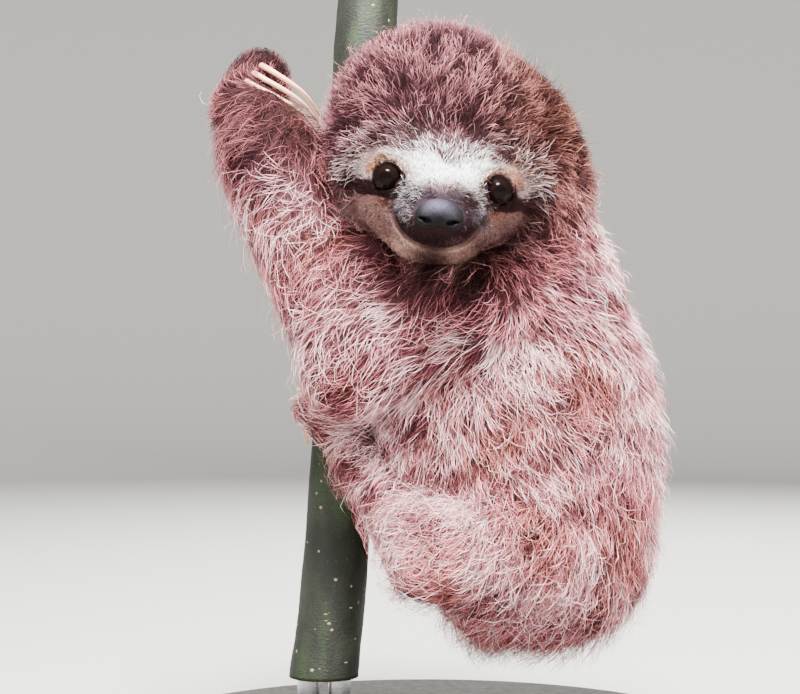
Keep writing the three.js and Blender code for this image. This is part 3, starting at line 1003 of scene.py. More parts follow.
@dataclass(frozen=True)
class Face:
    """The face in the head's own frame: lids, bridge, muzzle, mouth and the small ears."""

    head: HeadFrame
    eye: Triple = (17.4, -31.8, -12.7)
    eye_radius: float = 5.0
    gaze: Triple = (0.16, -0.98, 0.06)
    lid: float = 0.8
    opening: tuple[float, float] = (3.75, 2.95)
    nose: Triple = (0.0, -49.5, -21.0)
    mouth: Triple = (-0.3, -22.6, 0.0)
    mouth_half: tuple[float, float] = (13.4, 9.7)
    ears: tuple[Triple, Triple] = ((-40.5, 8.0, -8.0), (47.0, 3.5, -9.0))
    ear_half: Triple = (1.6, 4.4, 5.4)

    COAT = 1.1

    def bareness(self, local: Array) -> Array:
        """1 on the short-haired face, falling to 0 in the long coat round it."""
        x, z = local[:, 0] / 31.0, (local[:, 2] + 18.0) / np.where(local[:, 2] > -18, 23.0, 25.0)
        return rise(1.12, 0.82, np.hypot(x, z)) * rise(-8, -16, local[:, 1])

    def eye_centres(self) -> Array:
        """The eyes' centres, the animal's right first."""
        return np.array([(-self.eye[0], *self.eye[1:]), self.eye])

    def eye_axes(self, side: int) -> tuple[Array, Array, Array]:
        """Across, up and out of the eye on a side, -1 or 1."""
        out = unit(np.array([self.gaze[0] * side, *self.gaze[1:]]))
        across = unit(np.cross(np.array([0, 0, 1.0]), out))
        return across, np.cross(out, across), out

    def mouth_line(self, local: Array) -> tuple[Array, Array]:
        """Distance from the smile's arc, and whether it is the mouth there (1) or past its corners (0)."""
        x = (local[:, 0] - self.mouth[0]) / self.mouth_half[0]
        z = (local[:, 2] - self.mouth[1]) / self.mouth_half[1]
        round_ = np.hypot(x, z)
        return (round_ - 1) * min(self.mouth_half), rise(0.1, -0.25, z)

    def sculpt(self, local: Array, distance: Array) -> Array:
        """Adds the face's forms to the skin's distance."""
        near = (local[:, 1] < -12) & (distance < 12) & (np.abs(local[:, 0]) < 36)
        shaped = distance.copy()
        shaped[near] = self.forms(local[near], distance[near])
        for ear in self.ears:
            offset = local - np.array(ear)
            close = (np.abs(offset) < 14).all(axis=1)
            pinna = Egg(ear, self.ear_half).distance(local[close])
            shaped[close] = smooth_min(shaped[close], pinna, 2.0)
        return shaped

    def forms(self, local: Array, distance: Array) -> Array:
        """Mouth, bridge, cheeks, lids and sockets on the front of the head."""
        off, inside = self.mouth_line(local)
        front = rise(-24, -32, local[:, 1])
        groove, lip = np.exp(-((off / 0.75) ** 2)), np.exp(-(((off - 2.2) / 1.5) ** 2))
        shaped = distance + front * inside * (0.9 * groove - 0.7 * lip)
        cleft = np.abs(local[:, 0] - self.mouth[0])
        below = rise(-25, -27, local[:, 2]) * rise(0.5, -0.5, off)
        shaped += 0.5 * np.exp(-((cleft / 0.7) ** 2)) * below * front
        bridge = Egg((0, -40, -14.5), (6.0, 9.0, 7.0)).distance(local)
        shaped = smooth_min(shaped, bridge + 0.6, 6.0)
        for side, centre in zip((-1, 1), self.eye_centres()):
            across, up, out = self.eye_axes(side)
            offset = local - centre
            reach = np.linalg.norm(offset, axis=1)
            hollow = centre + np.array([-side * 7.0, -3.0, -0.8])
            corner = np.linalg.norm(local - hollow, axis=1)
            shaped = shaped + 0.9 * np.exp(-((corner / 4.0) ** 2))
            a, b, depth = offset @ across, offset @ up, offset @ out
            shaped = smooth_min(shaped, reach - (self.eye_radius + self.lid), 1.6)
            crease = np.hypot(a / 1.12, b) - (self.eye_radius + 1.9)
            above = rise(-1.0, 2.5, b) * rise(-2, 0, depth)
            shaped = shaped + 0.35 * np.exp(-((crease / 0.5) ** 2)) * above
            wide, high = self.opening
            slit = (np.hypot(a / wide, (b - 0.05 * a * side) / high) - 1) * high
            shaped = smooth_max(shaped, -np.maximum(slit, -depth), 0.4)
            shaped = np.maximum(shaped, self.eye_radius + 0.06 - reach)
        return shaped


# ------------------------------------------------------------------ markings


@dataclass(frozen=True)
class Patch:
    """A soft patch of another colour on the front: its middle in x and z, its radius and its strength."""

    x: float
    z: float
    radius: float
    strength: float


@dataclass(frozen=True)
class Markings:
    """The coat's colours, shared by the skin and the coat."""

    BROAD = Mottle(11, 17.0, 2)
    FINE = Mottle(12, 6.0, 2)
    UNEVEN = Mottle(13, 4.0)

    anatomy: Anatomy
    rose: str = "#9c5a61"
    mauve: str = "#7c4d5b"
    rust: str = "#9a5640"
    cream: str = "#f2a4ac"
    crown: str = "#44292d"
    crown_dark: str = "#1c0e17"
    paw: str = "#2e1b1d"
    band: str = "#ffffff"
    stripe: str = "#100607"
    ochre: str = "#8a5027"
    cheek: str = "#876460"
    jaw: str = "#f3bfab"
    muzzle: str = "#56505a"
    mouth: str = "#070405"
    lid: str = "#100707"
    caruncle: str = "#c98a90"
    # Painted shadow: the near-black colour laid where shadow falls under the chin and in the shade patches.
    painted_shadow: str = "#0d0504"
    tip: str = "#f48c94"
    frosted: str = "#fffafa"
    tan: str = "#c98c72"
    dusk: str = "#cc8f92"
    nape: str = "#3b1d14"
    # Pale patches: pale-tipped locks, partly the hair's own colour and partly painted light where the locks
    # catch it.
    pale: tuple[Patch, ...] = (
        Patch(2, 95, 15, 1.0),
        Patch(20, 86, 10, 0.6),
        Patch(25, 70, 8, 0.9),
        Patch(28, 146, 9, 1.0),
        Patch(12, 130, 8, 0.8),
        Patch(37, 117, 9, 0.9),
        Patch(-8, 134, 8, 0.8),
        Patch(-18, 108, 10, 0.5),
        Patch(73, 126, 13, 0.9),
        Patch(-28, 157, 15, 0.6),
        Patch(-44, 192, 11, 0.9),
        Patch(62, 62, 16, 0.5),
    )
    warm: tuple[Patch, ...] = (
        Patch(-42, 124, 12, 0.3),
        Patch(50, 138, 13, 0.9),
        Patch(24, 126, 9, 0.9),
        Patch(4, 119, 9, 0.7),
        Patch(50, 88, 18, 0.6),
        Patch(14, 52, 20, 0.7),
    )
    # Painted shade: patches where shadow falls under the chin and beside the face, and softer shade lower on
    # the arm and on the front.
    shade: tuple[Patch, ...] = (
        Patch(0, 173, 12, 1.0),
        Patch(14, 169, 15, 1.0),
        Patch(30, 177, 12, 0.9),
        Patch(38, 189, 8, 0.8),
        Patch(-31, 122, 5, 0.8),
        Patch(-26, 140, 15, 0.4),
        Patch(-8, 121, 12, 0.45),
        Patch(14, 150, 16, 0.35),
    )

    def spread(self, patches: tuple[Patch, ...], points: Array) -> Array:
        """How strongly a set of patches covers each point."""
        total = np.zeros(len(points))
        for patch in patches:
            off = np.hypot(points[:, 0] - patch.x, points[:, 2] - patch.z)
            total = np.maximum(total, patch.strength * np.exp(-((off / patch.radius) ** 2)))
        return total * rise(30, 0, points[:, 1])

    def at(self, points: Array) -> tuple[Array, Array, Array]:
        """The coat's colour at points on the body.

        Args:
            points: Points on the skin.

        Returns:
            Linear colours, the palest tips' colours, and how pale the tips are there from 0 to 1.
        """
        local = self.anatomy.head.into(points)
        shares = self.anatomy.shares(self.anatomy.own(points))
        by_name = dict(zip(self.anatomy.names, shares))
        broad, fine = self.BROAD(points), self.FINE(points)
        uneven = 1 + 0.5 * self.UNEVEN(points)[:, 0]
        # Pale patches lighten the colour and the tips: partly the hair's own colour, partly painted light.
        pale = self.spread(self.pale, points) * uneven
        warm = self.spread(self.warm, points) * uneven
        count = len(points)
        dull = rise(0, 0.6, broad[:, 0] + fine[:, 0] * 0.4)
        colour = mix(np.tile(tone(self.rose), (count, 1)), tone(self.mauve), dull)
        rusty = rise(0.1, 0.6, 0.6 * broad[:, 1] + 0.7 * fine[:, 1])
        colour = mix(colour, tone(self.rust), np.clip(0.6 * warm + rusty * 0.6, 0, 1))
        tips = np.clip(0.42 + 0.6 * pale + 0.3 * broad[:, 0] - 0.35 * fine[:, 1] - 0.3 * warm, 0.05, 1)
        colour = mix(colour, tone(self.cream), 0.35 * pale)
        crown = by_name["head"]
        cap = mix(np.tile(tone(self.crown), (count, 1)), tone(self.nape), 0.9 * rise(-2, 34, local[:, 0]))
        colour = mix(colour, cap, crown)
        front = rise(2, -22, local[:, 1]) * rise(8, -4, local[:, 2]) * crown
        colour = mix(colour, tone(self.crown_dark), 0.35 * front)
        flecked = 0.15 + 0.12 * fine[:, 0] - 0.08 * front - 0.1 * rise(6, 30, local[:, 0])
        tips = tips * (1 - crown) + crown * flecked
        paws = sum(by_name[name] for name in ("hand_left", "hand_right", "foot_right"))
        colour = mix(colour, tone(self.paw), paws)
        tips = tips * (1 - 0.95 * paws)
        upper = by_name["forearm_left"] * rise(190, 214, points[:, 2])
        colour = mix(colour, tone(self.paw), 0.85 * upper)
        tips = tips * (1 - 0.85 * upper)
        # Painted shade: the coat and its tips are darker towards the bottom, where the underside turns away
        # from the light.
        underside_shade = rise(76, 54, points[:, 2])
        colour = colour * (1 - 0.7 * underside_shade)[:, None]
        tips = tips * (1 - 0.6 * underside_shade)
        # Painted shadow under the chin and in the shade patches: the coat turns near black there, with no
        # pale tips.
        under_chin_shadow = crown * rise(-38.5, -41, local[:, 2]) * rise(10, -5, local[:, 1])
        painted_shadow = np.maximum(self.spread(self.shade, points), under_chin_shadow)
        colour = mix(colour, tone(self.painted_shadow), painted_shadow)
        tips = tips * (1 - painted_shadow)
        face, bleached, shown, frost = self.on_face(local, fine[:, 0])
        shown, frost = shown * crown * (1 - painted_shadow), frost * crown
        tips = np.maximum(tips, 0.44 * frost)
        tip = mix(np.tile(tone(self.tip), (count, 1)), tone(self.dusk), 0.6 * crown)
        tip = mix(tip, tone(self.tan), 0.9 * rise(0, 26, local[:, 0]) * crown)
        tip = mix(tip, tone(self.frosted), np.maximum(shown, frost))
        return mix(colour, face, shown), tip, tips * (1 - shown) + bleached * shown

    def on_face(self, local: Array, ragged: Array) -> tuple[Array, Array, Array, Array]:
        """The face's own colours, how pale their tips are, how far they show and the frost above them.

        Args:
            local: Points in the head's frame.
            ragged: A random value for each point that frays the edges.

        Returns:
            Colours, paleness, cover, and how frosted the longer coat is just above the pale band.
        """
        x, y, z = local.T
        side = np.abs(x - 0.3)
        fray = 1.5 * ragged
        colour = np.tile(tone(self.cheek), (len(local), 1))
        under_eye = np.exp(-(((side - 17) / 5) ** 2) - ((z + 20) / 2.6) ** 2)
        colour = mix(colour, tone(self.ochre), 0.45 * under_eye)
        jaw = rise(-27, -32, z + 0.012 * side**2) * rise(25, 18, side)
        colour = mix(colour, tone(self.jaw), 0.8 * jaw)
        top = -4.2 - 2.4 * np.exp(-((side / 2.6) ** 2)) - 0.004 * np.maximum(side - 12, 0) ** 2
        nose_bridge = np.exp(-((side / 4.5) ** 2))
        lower = rise(-14.0 + 1.6 * nose_bridge, -8.4, z + 0.02 * np.clip(side - 5, 0, 13) ** 2)
        band = rise(0.9, -0.9, z - top - fray) * lower
        grey = rise(-10.5, -15, z) * rise(17, 13, side) * rise(-27, -23, z)
        stubble = np.hypot(side / 12.5, (z + 20.0) / 9.0)
        colour = mix(colour, tone(self.muzzle), grey)
        colour = mix(colour, tone(self.crown_dark), 0.8 * rise(1.1, 0.6, stubble) * grey)
        colour = mix(colour, tone(self.band), band * (1 - 0.8 * rise(13, 24, side)))
        off = np.hypot(side - 18.2, z + 12.4)
        arc = np.exp(-(((off - 5.9) / 2.2) ** 2)) * rise(-14, -10.5, z)
        colour = mix(colour, tone(self.ochre), 0.9 * arc)
        stripe = self.stripe_cover(side, z, fray)
        colour = mix(colour, tone(self.stripe), stripe)
        mouth, _ = Face(self.anatomy.head).mouth_line(local)
        dark = rise(1.1, -0.5, mouth + 0.5 * fray) * rise(-20.5, -24.5, z + 0.1 * np.maximum(side - 6, 0))
        colour = mix(colour, tone(self.mouth), dark * rise(-28, -34, y))
        for centre in self.anatomy.face.eye_centres():
            offset = local - centre
            margin = np.hypot(offset[:, 0] / 5.4, offset[:, 2] / 4.3)
            colour = mix(colour, tone(self.lid), rise(1.12, 0.95, margin) * (y < -20))
            spot = centre + np.array([-np.sign(centre[0]) * 3.6, -4.2, -2.6])
            colour = mix(colour, tone(self.caruncle), rise(1.1, 0.6, np.linalg.norm(local - spot, axis=1)))
        on_band = band * (1 - stripe) * (1 - 0.95 * arc) * (1 - 0.85 * rise(11, 24, side))
        on_muzzle = 0.24 * grey * (1 - dark) * (1 - 0.85 * nose_bridge * rise(-18, -14, z))
        bleached = np.clip(on_band + on_muzzle, 0, 1) * 0.7
        inside = np.hypot(x / 33.0, (z + 17.5) / np.where(z > -17.5, 20.0, 24.5))
        ahead = rise(-6, -14, y)
        shown = rise(1.06, 0.94, inside + 0.03 * ragged) * ahead * rise(1.4, 0.2, z - top - fray)
        frost = np.exp(-(((z - top - 2.2) / 3.2) ** 2)) * ahead
        frost = frost * (0.35 + 0.65 * rise(20, 8, side)) * rise(34, 24, side) * rise(0.0, 0.4, z - top)
        return colour, bleached, shown, frost

    def stripe_cover(self, side: Array, z: Array, fray: Array) -> Array:
        """How far the dark stripe through each eye covers points."""
        inner, outer = np.array([9.0, -15.8]), np.array([32.5, -17.6])
        along = outer - inner
        offset = np.stack([side, z], axis=-1) - inner
        t = np.clip(offset @ along / (along @ along), 0, 1)
        off = np.linalg.norm(offset - t[:, None] * along, axis=1) - (2.5 + 0.3 * t)
        ring = np.hypot((side - 17.5) / 1.06, (z + 13.1) / 0.8) - 5.7
        return rise(0.5, -0.5, smooth_min(off, ring, 3.0) - 0.5 * fray)


# ------------------------------------------------------------------ stem


@dataclass
class Stem:
    """The cut length of stem that the animal grips, with its lichen and sawn ends."""

    foot: Triple = (-37, 30, 29)
    waist: Triple = (-33, 31, 70)
    crown: Triple = (-21.5, 40, 276)
    radius: float = 11.1
    flare: float = 1.4
    sides: int = 96
    rings: int = 200
    finish: BarkFinish = BarkFinish()

    def __post_init__(self) -> None:
        """Works out the line of its axis."""
        self.line = curve_points([self.foot, self.waist, self.crown], 400)

    def centre(self, heights: Array) -> Array:
        """The axis at heights."""
        x, y, z = self.line.T
        return np.stack([np.interp(heights, z, x), np.interp(heights, z, y), heights], -1)

    def girth(self, heights: Array) -> Array:
        """The radius at heights."""
        t = np.clip((heights - self.foot[2]) / (self.crown[2] - self.foot[2]), 0, 1)
        return self.radius + self.flare * (1 - t) ** 4

    def distance(self, points: Array) -> Array:
        """Distance from the bark."""
        heights = points[:, 2]
        return np.linalg.norm((points - self.centre(heights))[:, :2], axis=1) - self.girth(heights)

    def beside(self, height: float, angle: float, reach: float) -> Array:
        """A point by height, angle in degrees and distance from the axis."""
        turn = math.radians(angle)
        return self.centre(np.array([height]))[0] + reach * np.array([math.cos(turn), math.sin(turn), 0])

    def build(self) -> None:
        """Makes the bark, the sawn ends and the lichen."""
        t = np.linspace(0, 1, self.rings)
        heights = self.foot[2] + (self.crown[2] - self.foot[2]) * t
        angle = np.arange(self.sides) * 2 * math.pi / self.sides
        centres, girth = self.centre(heights), self.girth(heights)
        ring = np.stack([np.cos(angle), np.sin(angle), np.zeros(self.sides)], axis=-1)
        rings = centres[:, None] + girth[:, None, None] * ring
        flat = rings.reshape(-1, 3)
        swell = 0.35 * Mottle(31, 16.0)(flat) + 0.14 * Mottle(32, 3.0)(flat * [1, 1, 0.45])
        swell = swell + 0.05 * Mottle(33, 1.1)(flat)
        rings += (swell.reshape(self.rings, self.sides, 1) - 0.2) * ring
        closed = [rings[:1] - 0.5 * ring, rings, rings[-1:] - 0.5 * ring]
        bark = rings_to_shell(np.concatenate(closed), centres[0], centres[-1])
        piece = bark.object("stem_bark", self.finish.material())
        place(piece, "bark", "perch")
        for name, index, lift in (("stem_cut_foot", 0, -0.15), ("stem_cut_top", -1, 0.15)):
            x, y, z = centres[index]
            r = girth[index] - 1.1
            disc = lathe([(r, lift - 0.2), (r, lift + 0.1), (r - 0.3, lift + 0.2)], 64, (x, y, z))
            place(disc.object(name, CutWoodFinish((x, y)).material(f"sawn_{name[9:]}_end")), "bark")
        place(self.lichen(piece), "bark")

    def lichen(
        self, bark: bpy.types.Object, crust: float = 0.6, spread: float = 0.008, seed: int = 5
    ) -> bpy.types.Object:
        """Scatters crust lichen over the bark with Geometry Nodes.

        Args:
            bark: The finished bark.
            crust: Radius of a middling crust.
            spread: Crusts for each square millimetre.
            seed: Seed of their places, sizes and turns.

        Returns:
            The lichen as one plain mesh.
        """
        tree = bpy.data.node_groups.new("lichen_on_bark", "GeometryNodeTree")
        face = tree.interface
        face.new_socket("Geometry", in_out="INPUT", socket_type="NodeSocketGeometry")
        names = {}
        for label, kind in (("Crust radius", "Float"), ("Density", "Float"), ("Seed", "Int")):
            socket = face.new_socket(label, in_out="INPUT", socket_type=f"NodeSocket{kind}")
            names[label] = socket.identifier
        face.new_socket("Geometry", in_out="OUTPUT", socket_type="NodeSocketGeometry")
        given = add_node(tree, "NodeGroupInput")
        scatter = {
            "Mesh": given.outputs["Geometry"],
            "Density": given.outputs["Density"],
            "Seed": given.outputs["Seed"],
        }
        points = add_node(tree, "GeometryNodeDistributePointsOnFaces", scatter)
        ball = {"Radius": given.outputs["Crust radius"], "Subdivisions": 2}
        crumb = add_node(tree, "GeometryNodeMeshIcoSphere", ball)
        low, high = (0.25, 0.25, 0.12), (1.3, 1.1, 0.3)
        sizes = {0: low, 1: high, "Seed": given.outputs["Seed"]}
        size = add_node(tree, "FunctionNodeRandomValue", sizes, data_type="FLOAT_VECTOR")
        set_out = {
            "Points": points.outputs["Points"],
            "Instance": crumb.outputs["Mesh"],
            "Rotation": points.outputs["Rotation"],
            "Scale": size.outputs["Value"],
        }
        crusts = add_node(tree, "GeometryNodeInstanceOnPoints", set_out)
        real = add_node(tree, "GeometryNodeRealizeInstances", {"Geometry": crusts.outputs["Instances"]})
        crust_look = {"Geometry": real.outputs["Geometry"], "Material": CrustFinish().material()}
        dressed = add_node(tree, "GeometryNodeSetMaterial", crust_look)
        add_node(tree, "NodeGroupOutput", {"Geometry": dressed.outputs["Geometry"]})
        modifier = bark.modifiers.new("lichen", "NODES")
        modifier.node_group = tree
        modifier[names["Crust radius"]] = crust * MM
        modifier[names["Density"]] = spread / MM**2
        modifier[names["Seed"]] = seed
        mesh = bpy.data.meshes.new_from_object(bark.evaluated_get(bpy.context.evaluated_depsgraph_get()))
        bark.modifiers.remove(modifier)
        mesh.name = "stem_lichen"
        made = bpy.data.objects.new("stem_lichen", mesh)
        bpy.context.scene.collection.objects.link(made)
        return made


# ------------------------------------------------------------------ skin


class Skin:
    """The bare skin: one closed surface from nose to tail, fine on the face and finer on the lids."""

    CELL = 1.9
    LOW = (-82.0, -68.0, 32.0)
    HIGH = (90.0, 86.0, 264.0)
    STEM_GAP = 0.3
    FACE_MARGINS = (1.0, 0.9)
    LID_ZONES = ((8.2, -4.0), (7.4, 1.5))

    def __init__(self, anatomy: Anatomy, stem: Stem) -> None:
        """Lays the net and fines it down on the face."""
        self.anatomy = anatomy
        self.stem = stem
        coarse = net(self.distance, np.array(self.LOW), np.array(self.HIGH), self.CELL)
        shell = settled(coarse, self.distance, 3, 0.5)
        for margin in self.FACE_MARGINS:
            local = anatomy.head.into(shell.vertices)
            wide = np.hypot(local[:, 0] / 33, (local[:, 2] + 18) / 21) < margin
            shell = settled(refined(shell, wide & (local[:, 1] < -15)), self.distance, 2, 0.4)
        for reach, ahead in self.LID_ZONES:
            local = anatomy.head.into(shell.vertices)
            near = np.zeros(len(local), bool)
            for centre in anatomy.face.eye_centres():
                close = np.linalg.norm(local - centre, axis=1) < reach
                near |= close & (centre[1] - local[:, 1] > ahead)
            shell = settled(refined(shell, near), self.distance, 2, 0.25)
        self.shell = shell
        self.normals = vertex_normals(shell)

    def distance(self, points: Array) -> Array:
        """Distance to the skin, kept clear of the stem."""
        return np.maximum(self.anatomy.skin(points), self.STEM_GAP - self.stem.distance(points))

    def build(self, markings: Markings) -> None:
        """Makes the object and paints its markings, with painted shade: darker where the long coat covers
        it.
        """
        piece = self.shell.object("skin", SkinFinish().material())
        colour, _, _ = markings.at(self.shell.vertices)
        bare = self.anatomy.face.bareness(self.anatomy.head.into(self.shell.vertices))
        # Painted shade between the hairs: the skin is darkened everywhere, and most under the long coat.
        paint(piece, "marking", colour * (0.2 + 0.4 * bare)[:, None])
        place(piece, "body_fur", *self.anatomy.names, *FACE_PARTS)


# ------------------------------------------------------------------ coat


class Side(Enum):
    """Which share of its parts a coat piece covers."""

    WHOLE = "whole"
    FRONT = "front"
    BACK = "back"
    LEFT = "left"
    RIGHT = "right"


@dataclass(frozen=True)
class Layer:
    """How one layer of the coat grows, beside its parts' own length, width and mess."""

    segments: int = 3
    length: float = 1.0
    width: float = 1.0
    loft: tuple[float, float] = (0.35, 1.1)
    curl: float = 62.0
    pull: float = 0.45
    strays: float = 0.07
    shade: tuple[float, float] = (0.6, 1.2)


class Growth(Enum):
    """The layers of the coat."""

    WIRY = Layer(4, curl=68.0)
    # The short underlayer is kept dark: partly the underfur's own colour, partly painted shade deep in the
    # coat.
    DOWN = Layer(2, 0.62, 1.5, (0.2, 0.6), 20, 0.0, 0.0, (0.3, 0.6))
    GUARD = Layer()
    BACK = Layer(3, 1.05, 1.35, (0.35, 1.05), 45)
    CROWN = Layer(3, 1.0, 1.0, (0.45, 1.3), 70, 0.45, 0.03, (0.5, 1.3))
    FACE = Layer(2, 0.36, 0.75, (0.2, 0.85), 25, 0.15, 0.0, (0.6, 1.1))
    PAW = Layer(2, 1.0, 1.0, (0.3, 1.0), 15, 0.2, 0.0)


@dataclass(frozen=True)
class CoatPiece:
    """One mesh of the coat: the parts and side it covers, how it grows and how many locks it has."""

    name: str
    parts: tuple[str, ...]
    side: Side
    growth: Growth
    locks: int


@dataclass
class Coat:
    """The coat, grown lock by lock along the way that it lies."""

    JITTER = {Growth.FACE: 1.0, Growth.CROWN: 1.9}
    LOOSE = 0.25
    MIDDLE = 34.0
    FIRST_SEED = 100
    STEM_CLEARANCE = 2.5
    LOCKS_TO_A_LEADER = 14

    anatomy: Anatomy
    skin: Skin
    markings: Markings
    patch: float = 0.003
    hair: HairFinish = HairFinish("guard_hair")
    muzzle: Triple = (0.0, -50.0, -15.0)
    pieces: tuple[CoatPiece, ...] = (
        CoatPiece("coat_crown_left", ("head",), Side.LEFT, Growth.CROWN, 10000),
        CoatPiece("coat_crown_right", ("head",), Side.RIGHT, Growth.CROWN, 10000),
        CoatPiece("coat_face", ("head",), Side.FRONT, Growth.FACE, 10000),
        CoatPiece("coat_trunk_down", ("torso", "neck"), Side.FRONT, Growth.DOWN, 6500),
        CoatPiece("coat_trunk_left", ("torso", "neck"), Side.LEFT, Growth.GUARD, 12000),
        CoatPiece("coat_trunk_right", ("torso", "neck"), Side.RIGHT, Growth.GUARD, 12000),
        CoatPiece("coat_trunk_back", ("torso", "neck", "tail"), Side.BACK, Growth.BACK, 7200),
        CoatPiece(
            "coat_arm_left", ("upper_arm_left", "forearm_left"), Side.WHOLE, Growth.WIRY, 8900
        ),
        CoatPiece("coat_leg_left", ("thigh_left", "shank_left"), Side.WHOLE, Growth.GUARD, 9500),
        CoatPiece(
            "coat_far_limbs",
            ("upper_arm_right", "forearm_right", "thigh_right", "shank_right"),
            Side.WHOLE,
            Growth.BACK,
            6500,
        ),
        CoatPiece(
            "coat_paws",
            ("hand_left", "hand_right", "foot_left", "foot_right"),
            Side.WHOLE,
            Growth.PAW,
            6200,
        ),
    )

    def __post_init__(self) -> None:
        """Sorts the skin's triangles by the part that owns them."""
        shell = self.skin.shell
        self.corners = shell.vertices[shell.faces]
        self.middles = self.corners.mean(axis=1)
        a, b, c = np.moveaxis(self.corners, 1, 0)
        self.areas = np.linalg.norm(np.cross(b - a, c - a), axis=1) / 2
        self.owner = np.argmin(self.anatomy.own(self.middles), axis=0)
        self.local = self.anatomy.head.into(self.middles)
        self.bare = self.anatomy.face.bareness(self.local)
        clear = self.skin.stem.distance(self.middles) > self.STEM_CLEARANCE
        x, y, z = self.local.T
        eyes = [
            (np.hypot(x - c[0], (z - c[2]) * 1.2) > 4.9) | (y > -20)
            for c in self.anatomy.face.eye_centres()
        ]
        nose = Egg(self.anatomy.face.nose, (8.0, 5.5, 5.6)).distance(self.local) > 0
        mouth, inside = self.anatomy.face.mouth_line(self.local)
        lips = ~((np.abs(mouth) < 0.9) & (inside > 0.5) & (self.local[:, 1] < -28))
        self.free = clear & eyes[0] & eyes[1] & nose & lips
        self.lie_patches = Mottle(41, 15.0, 2), Mottle(42, 5.5, 2)
        self.lock_patches = Mottle(43, 3.8)

    def build(self) -> None:
        """Grows every piece."""
        material = self.hair.material()
        for index, piece in enumerate(self.pieces):
            self.grow(piece, np.random.default_rng(self.FIRST_SEED + index), material)

    def cover(self, piece: CoatPiece) -> Array:
        """How densely a piece covers each triangle of the skin."""
        names = [self.anatomy.names.index(name) for name in piece.parts]
        share = np.isin(self.owner, names) * self.free * 1.0
        y, local_x = self.middles[:, 1], self.local[:, 0]
        if piece.growth is Growth.FACE:
            front = self.local[:, 1]
            return share * self.bare * (front < -10) * (1 + rise(-26, -40, front))
        if piece.growth is Growth.PAW:
            return share * np.where(self.owner == self.anatomy.names.index("foot_left"), 3.0, 1.0)
        if piece.growth is Growth.CROWN:
            half = local_x >= 0 if piece.side is Side.LEFT else local_x < 0
            return share * half * (1 - self.bare) * (0.6 + 0.4 * rise(30, 5, y))
        if piece.side is Side.LEFT:
            return share * (self.middles[:, 0] >= self.MIDDLE) * rise(26, 14, y)
        if piece.side is Side.RIGHT:
            return share * (self.middles[:, 0] < self.MIDDLE) * rise(26, 14, y)
        if piece.side is Side.BACK:
            return share * rise(12, 26, y)
        if piece.side is Side.FRONT:
            return share * rise(30, 20, y)
        return share

    def lie(self, points: Array, shares: Array) -> Array:
        """Which way the hair's tips point at points.

        Args:
            points: Points on the skin.
            shares: How far each part owns each point.

        Returns:
            Unit directions in the part's frame.
        """
        by_name = dict(zip(self.anatomy.names, shares))
        x, y, z = points.T
        way = self.anatomy.blended(shares, "lie")
        trunk, front = by_name["torso"] + by_name["neck"], rise(28, 5, y)
        fan = -0.3 + 0.65 * rise(2, 26, x) - 0.45 * rise(48, 66, x)
        way[:, 0] += trunk * front * (rise(80, 105, z) * fan - 0.25 * rise(100, 70, z))
        local = self.anatomy.head.into(points)
        away = unit(local - np.array(self.muzzle))
        for centre in self.anatomy.face.eye_centres():
            from_eye = local - centre
            close = np.exp(-((np.linalg.norm(from_eye, axis=1) / 8.5) ** 2))
            away += unit(from_eye) * (1.6 * close)[:, None]
        away[:, 2] -= 0.5 * rise(20, 38, np.abs(local[:, 0])) * rise(10, -10, local[:, 2])
        return unit(mix(way, unit(away) @ self.anatomy.head.turn.T, rise(0.3, 0.7, by_name["head"])))

    def roots(self, piece: CoatPiece, rng: np.random.Generator) -> tuple[Array, Array]:
        """Scatters a piece's roots over the skin that it covers, and gives the skin's normals there."""
        weight = self.areas * self.cover(piece)
        total = np.cumsum(weight)
        spots = (np.arange(piece.locks) + rng.random(piece.locks)) / piece.locks * total[-1]
        chosen = np.minimum(np.searchsorted(total, spots), len(total) - 1)
        a, b = rng.random((2, piece.locks))
        over = a + b > 1
        a, b = np.where(over, 1 - a, a), np.where(over, 1 - b, b)
        share = np.stack([1 - a - b, a, b], axis=-1)[..., None]
        normals = (self.skin.normals[self.skin.shell.faces[chosen]] * share).sum(axis=1)
        return (self.corners[chosen] * share).sum(axis=1), unit(normals)

    def grow(self, piece: CoatPiece, rng: np.random.Generator, material: bpy.types.Material) -> None:
        """Grows one piece and adds it to the scene."""
        layer = piece.growth.value
        short = piece.growth in (Growth.FACE, Growth.CROWN)
        roots, normals = self.roots(piece, rng)
        count = len(roots)
        shares = self.anatomy.shares(self.anatomy.own(roots))
        traits = ("depth", "length", "width", "mess")
        depth, length, width, mess = (self.anatomy.blended(shares, trait) for trait in traits)
        local = self.anatomy.head.into(roots)
        bare = self.anatomy.face.bareness(local) * (piece.growth is Growth.FACE)
        depth = depth + (self.anatomy.face.COAT - depth) * bare
        hem = rise(74, 54, roots[:, 2]) * (not short)
        stray = rng.random(count) < layer.strays * (1 + 3 * hem)
        bundled = self.lock_patches(roots)[:, 0] + self.LOOSE * rng.standard_normal(count)
        kind = np.argsort(np.argsort(-bundled)) / count
        brow = (piece.growth is Growth.FACE) * rise(-8, -1, local[:, 2])
        length = length * layer.length * (1 + 1.1 * brow) * rng.uniform(0.7, 1.25, count)
        length = length * np.where(stray, 1.45, 1)
        width = width * layer.width * rng.uniform(0.75, 1.2, count) * np.where(stray, 0.8, 1)
        loft = rng.uniform(*layer.loft, count) * np.where(stray, 1.9 + 1.2 * hem, 1.15 - 0.35 * kind)
        broad, fine = (patches(roots) for patches in self.lie_patches)
        mess = np.radians(mess + 18 * rise(72, 52, roots[:, 2]))
        heading = mess * (1.1 * broad[:, 0] + 0.9 * fine[:, 0] + 1.0 * rng.standard_normal(count))
        curl = np.radians(layer.curl) * (0.7 * fine[:, 1] + 0.9 * rng.standard_normal(count))
        curl = curl * np.where(stray, 1.5, 1)
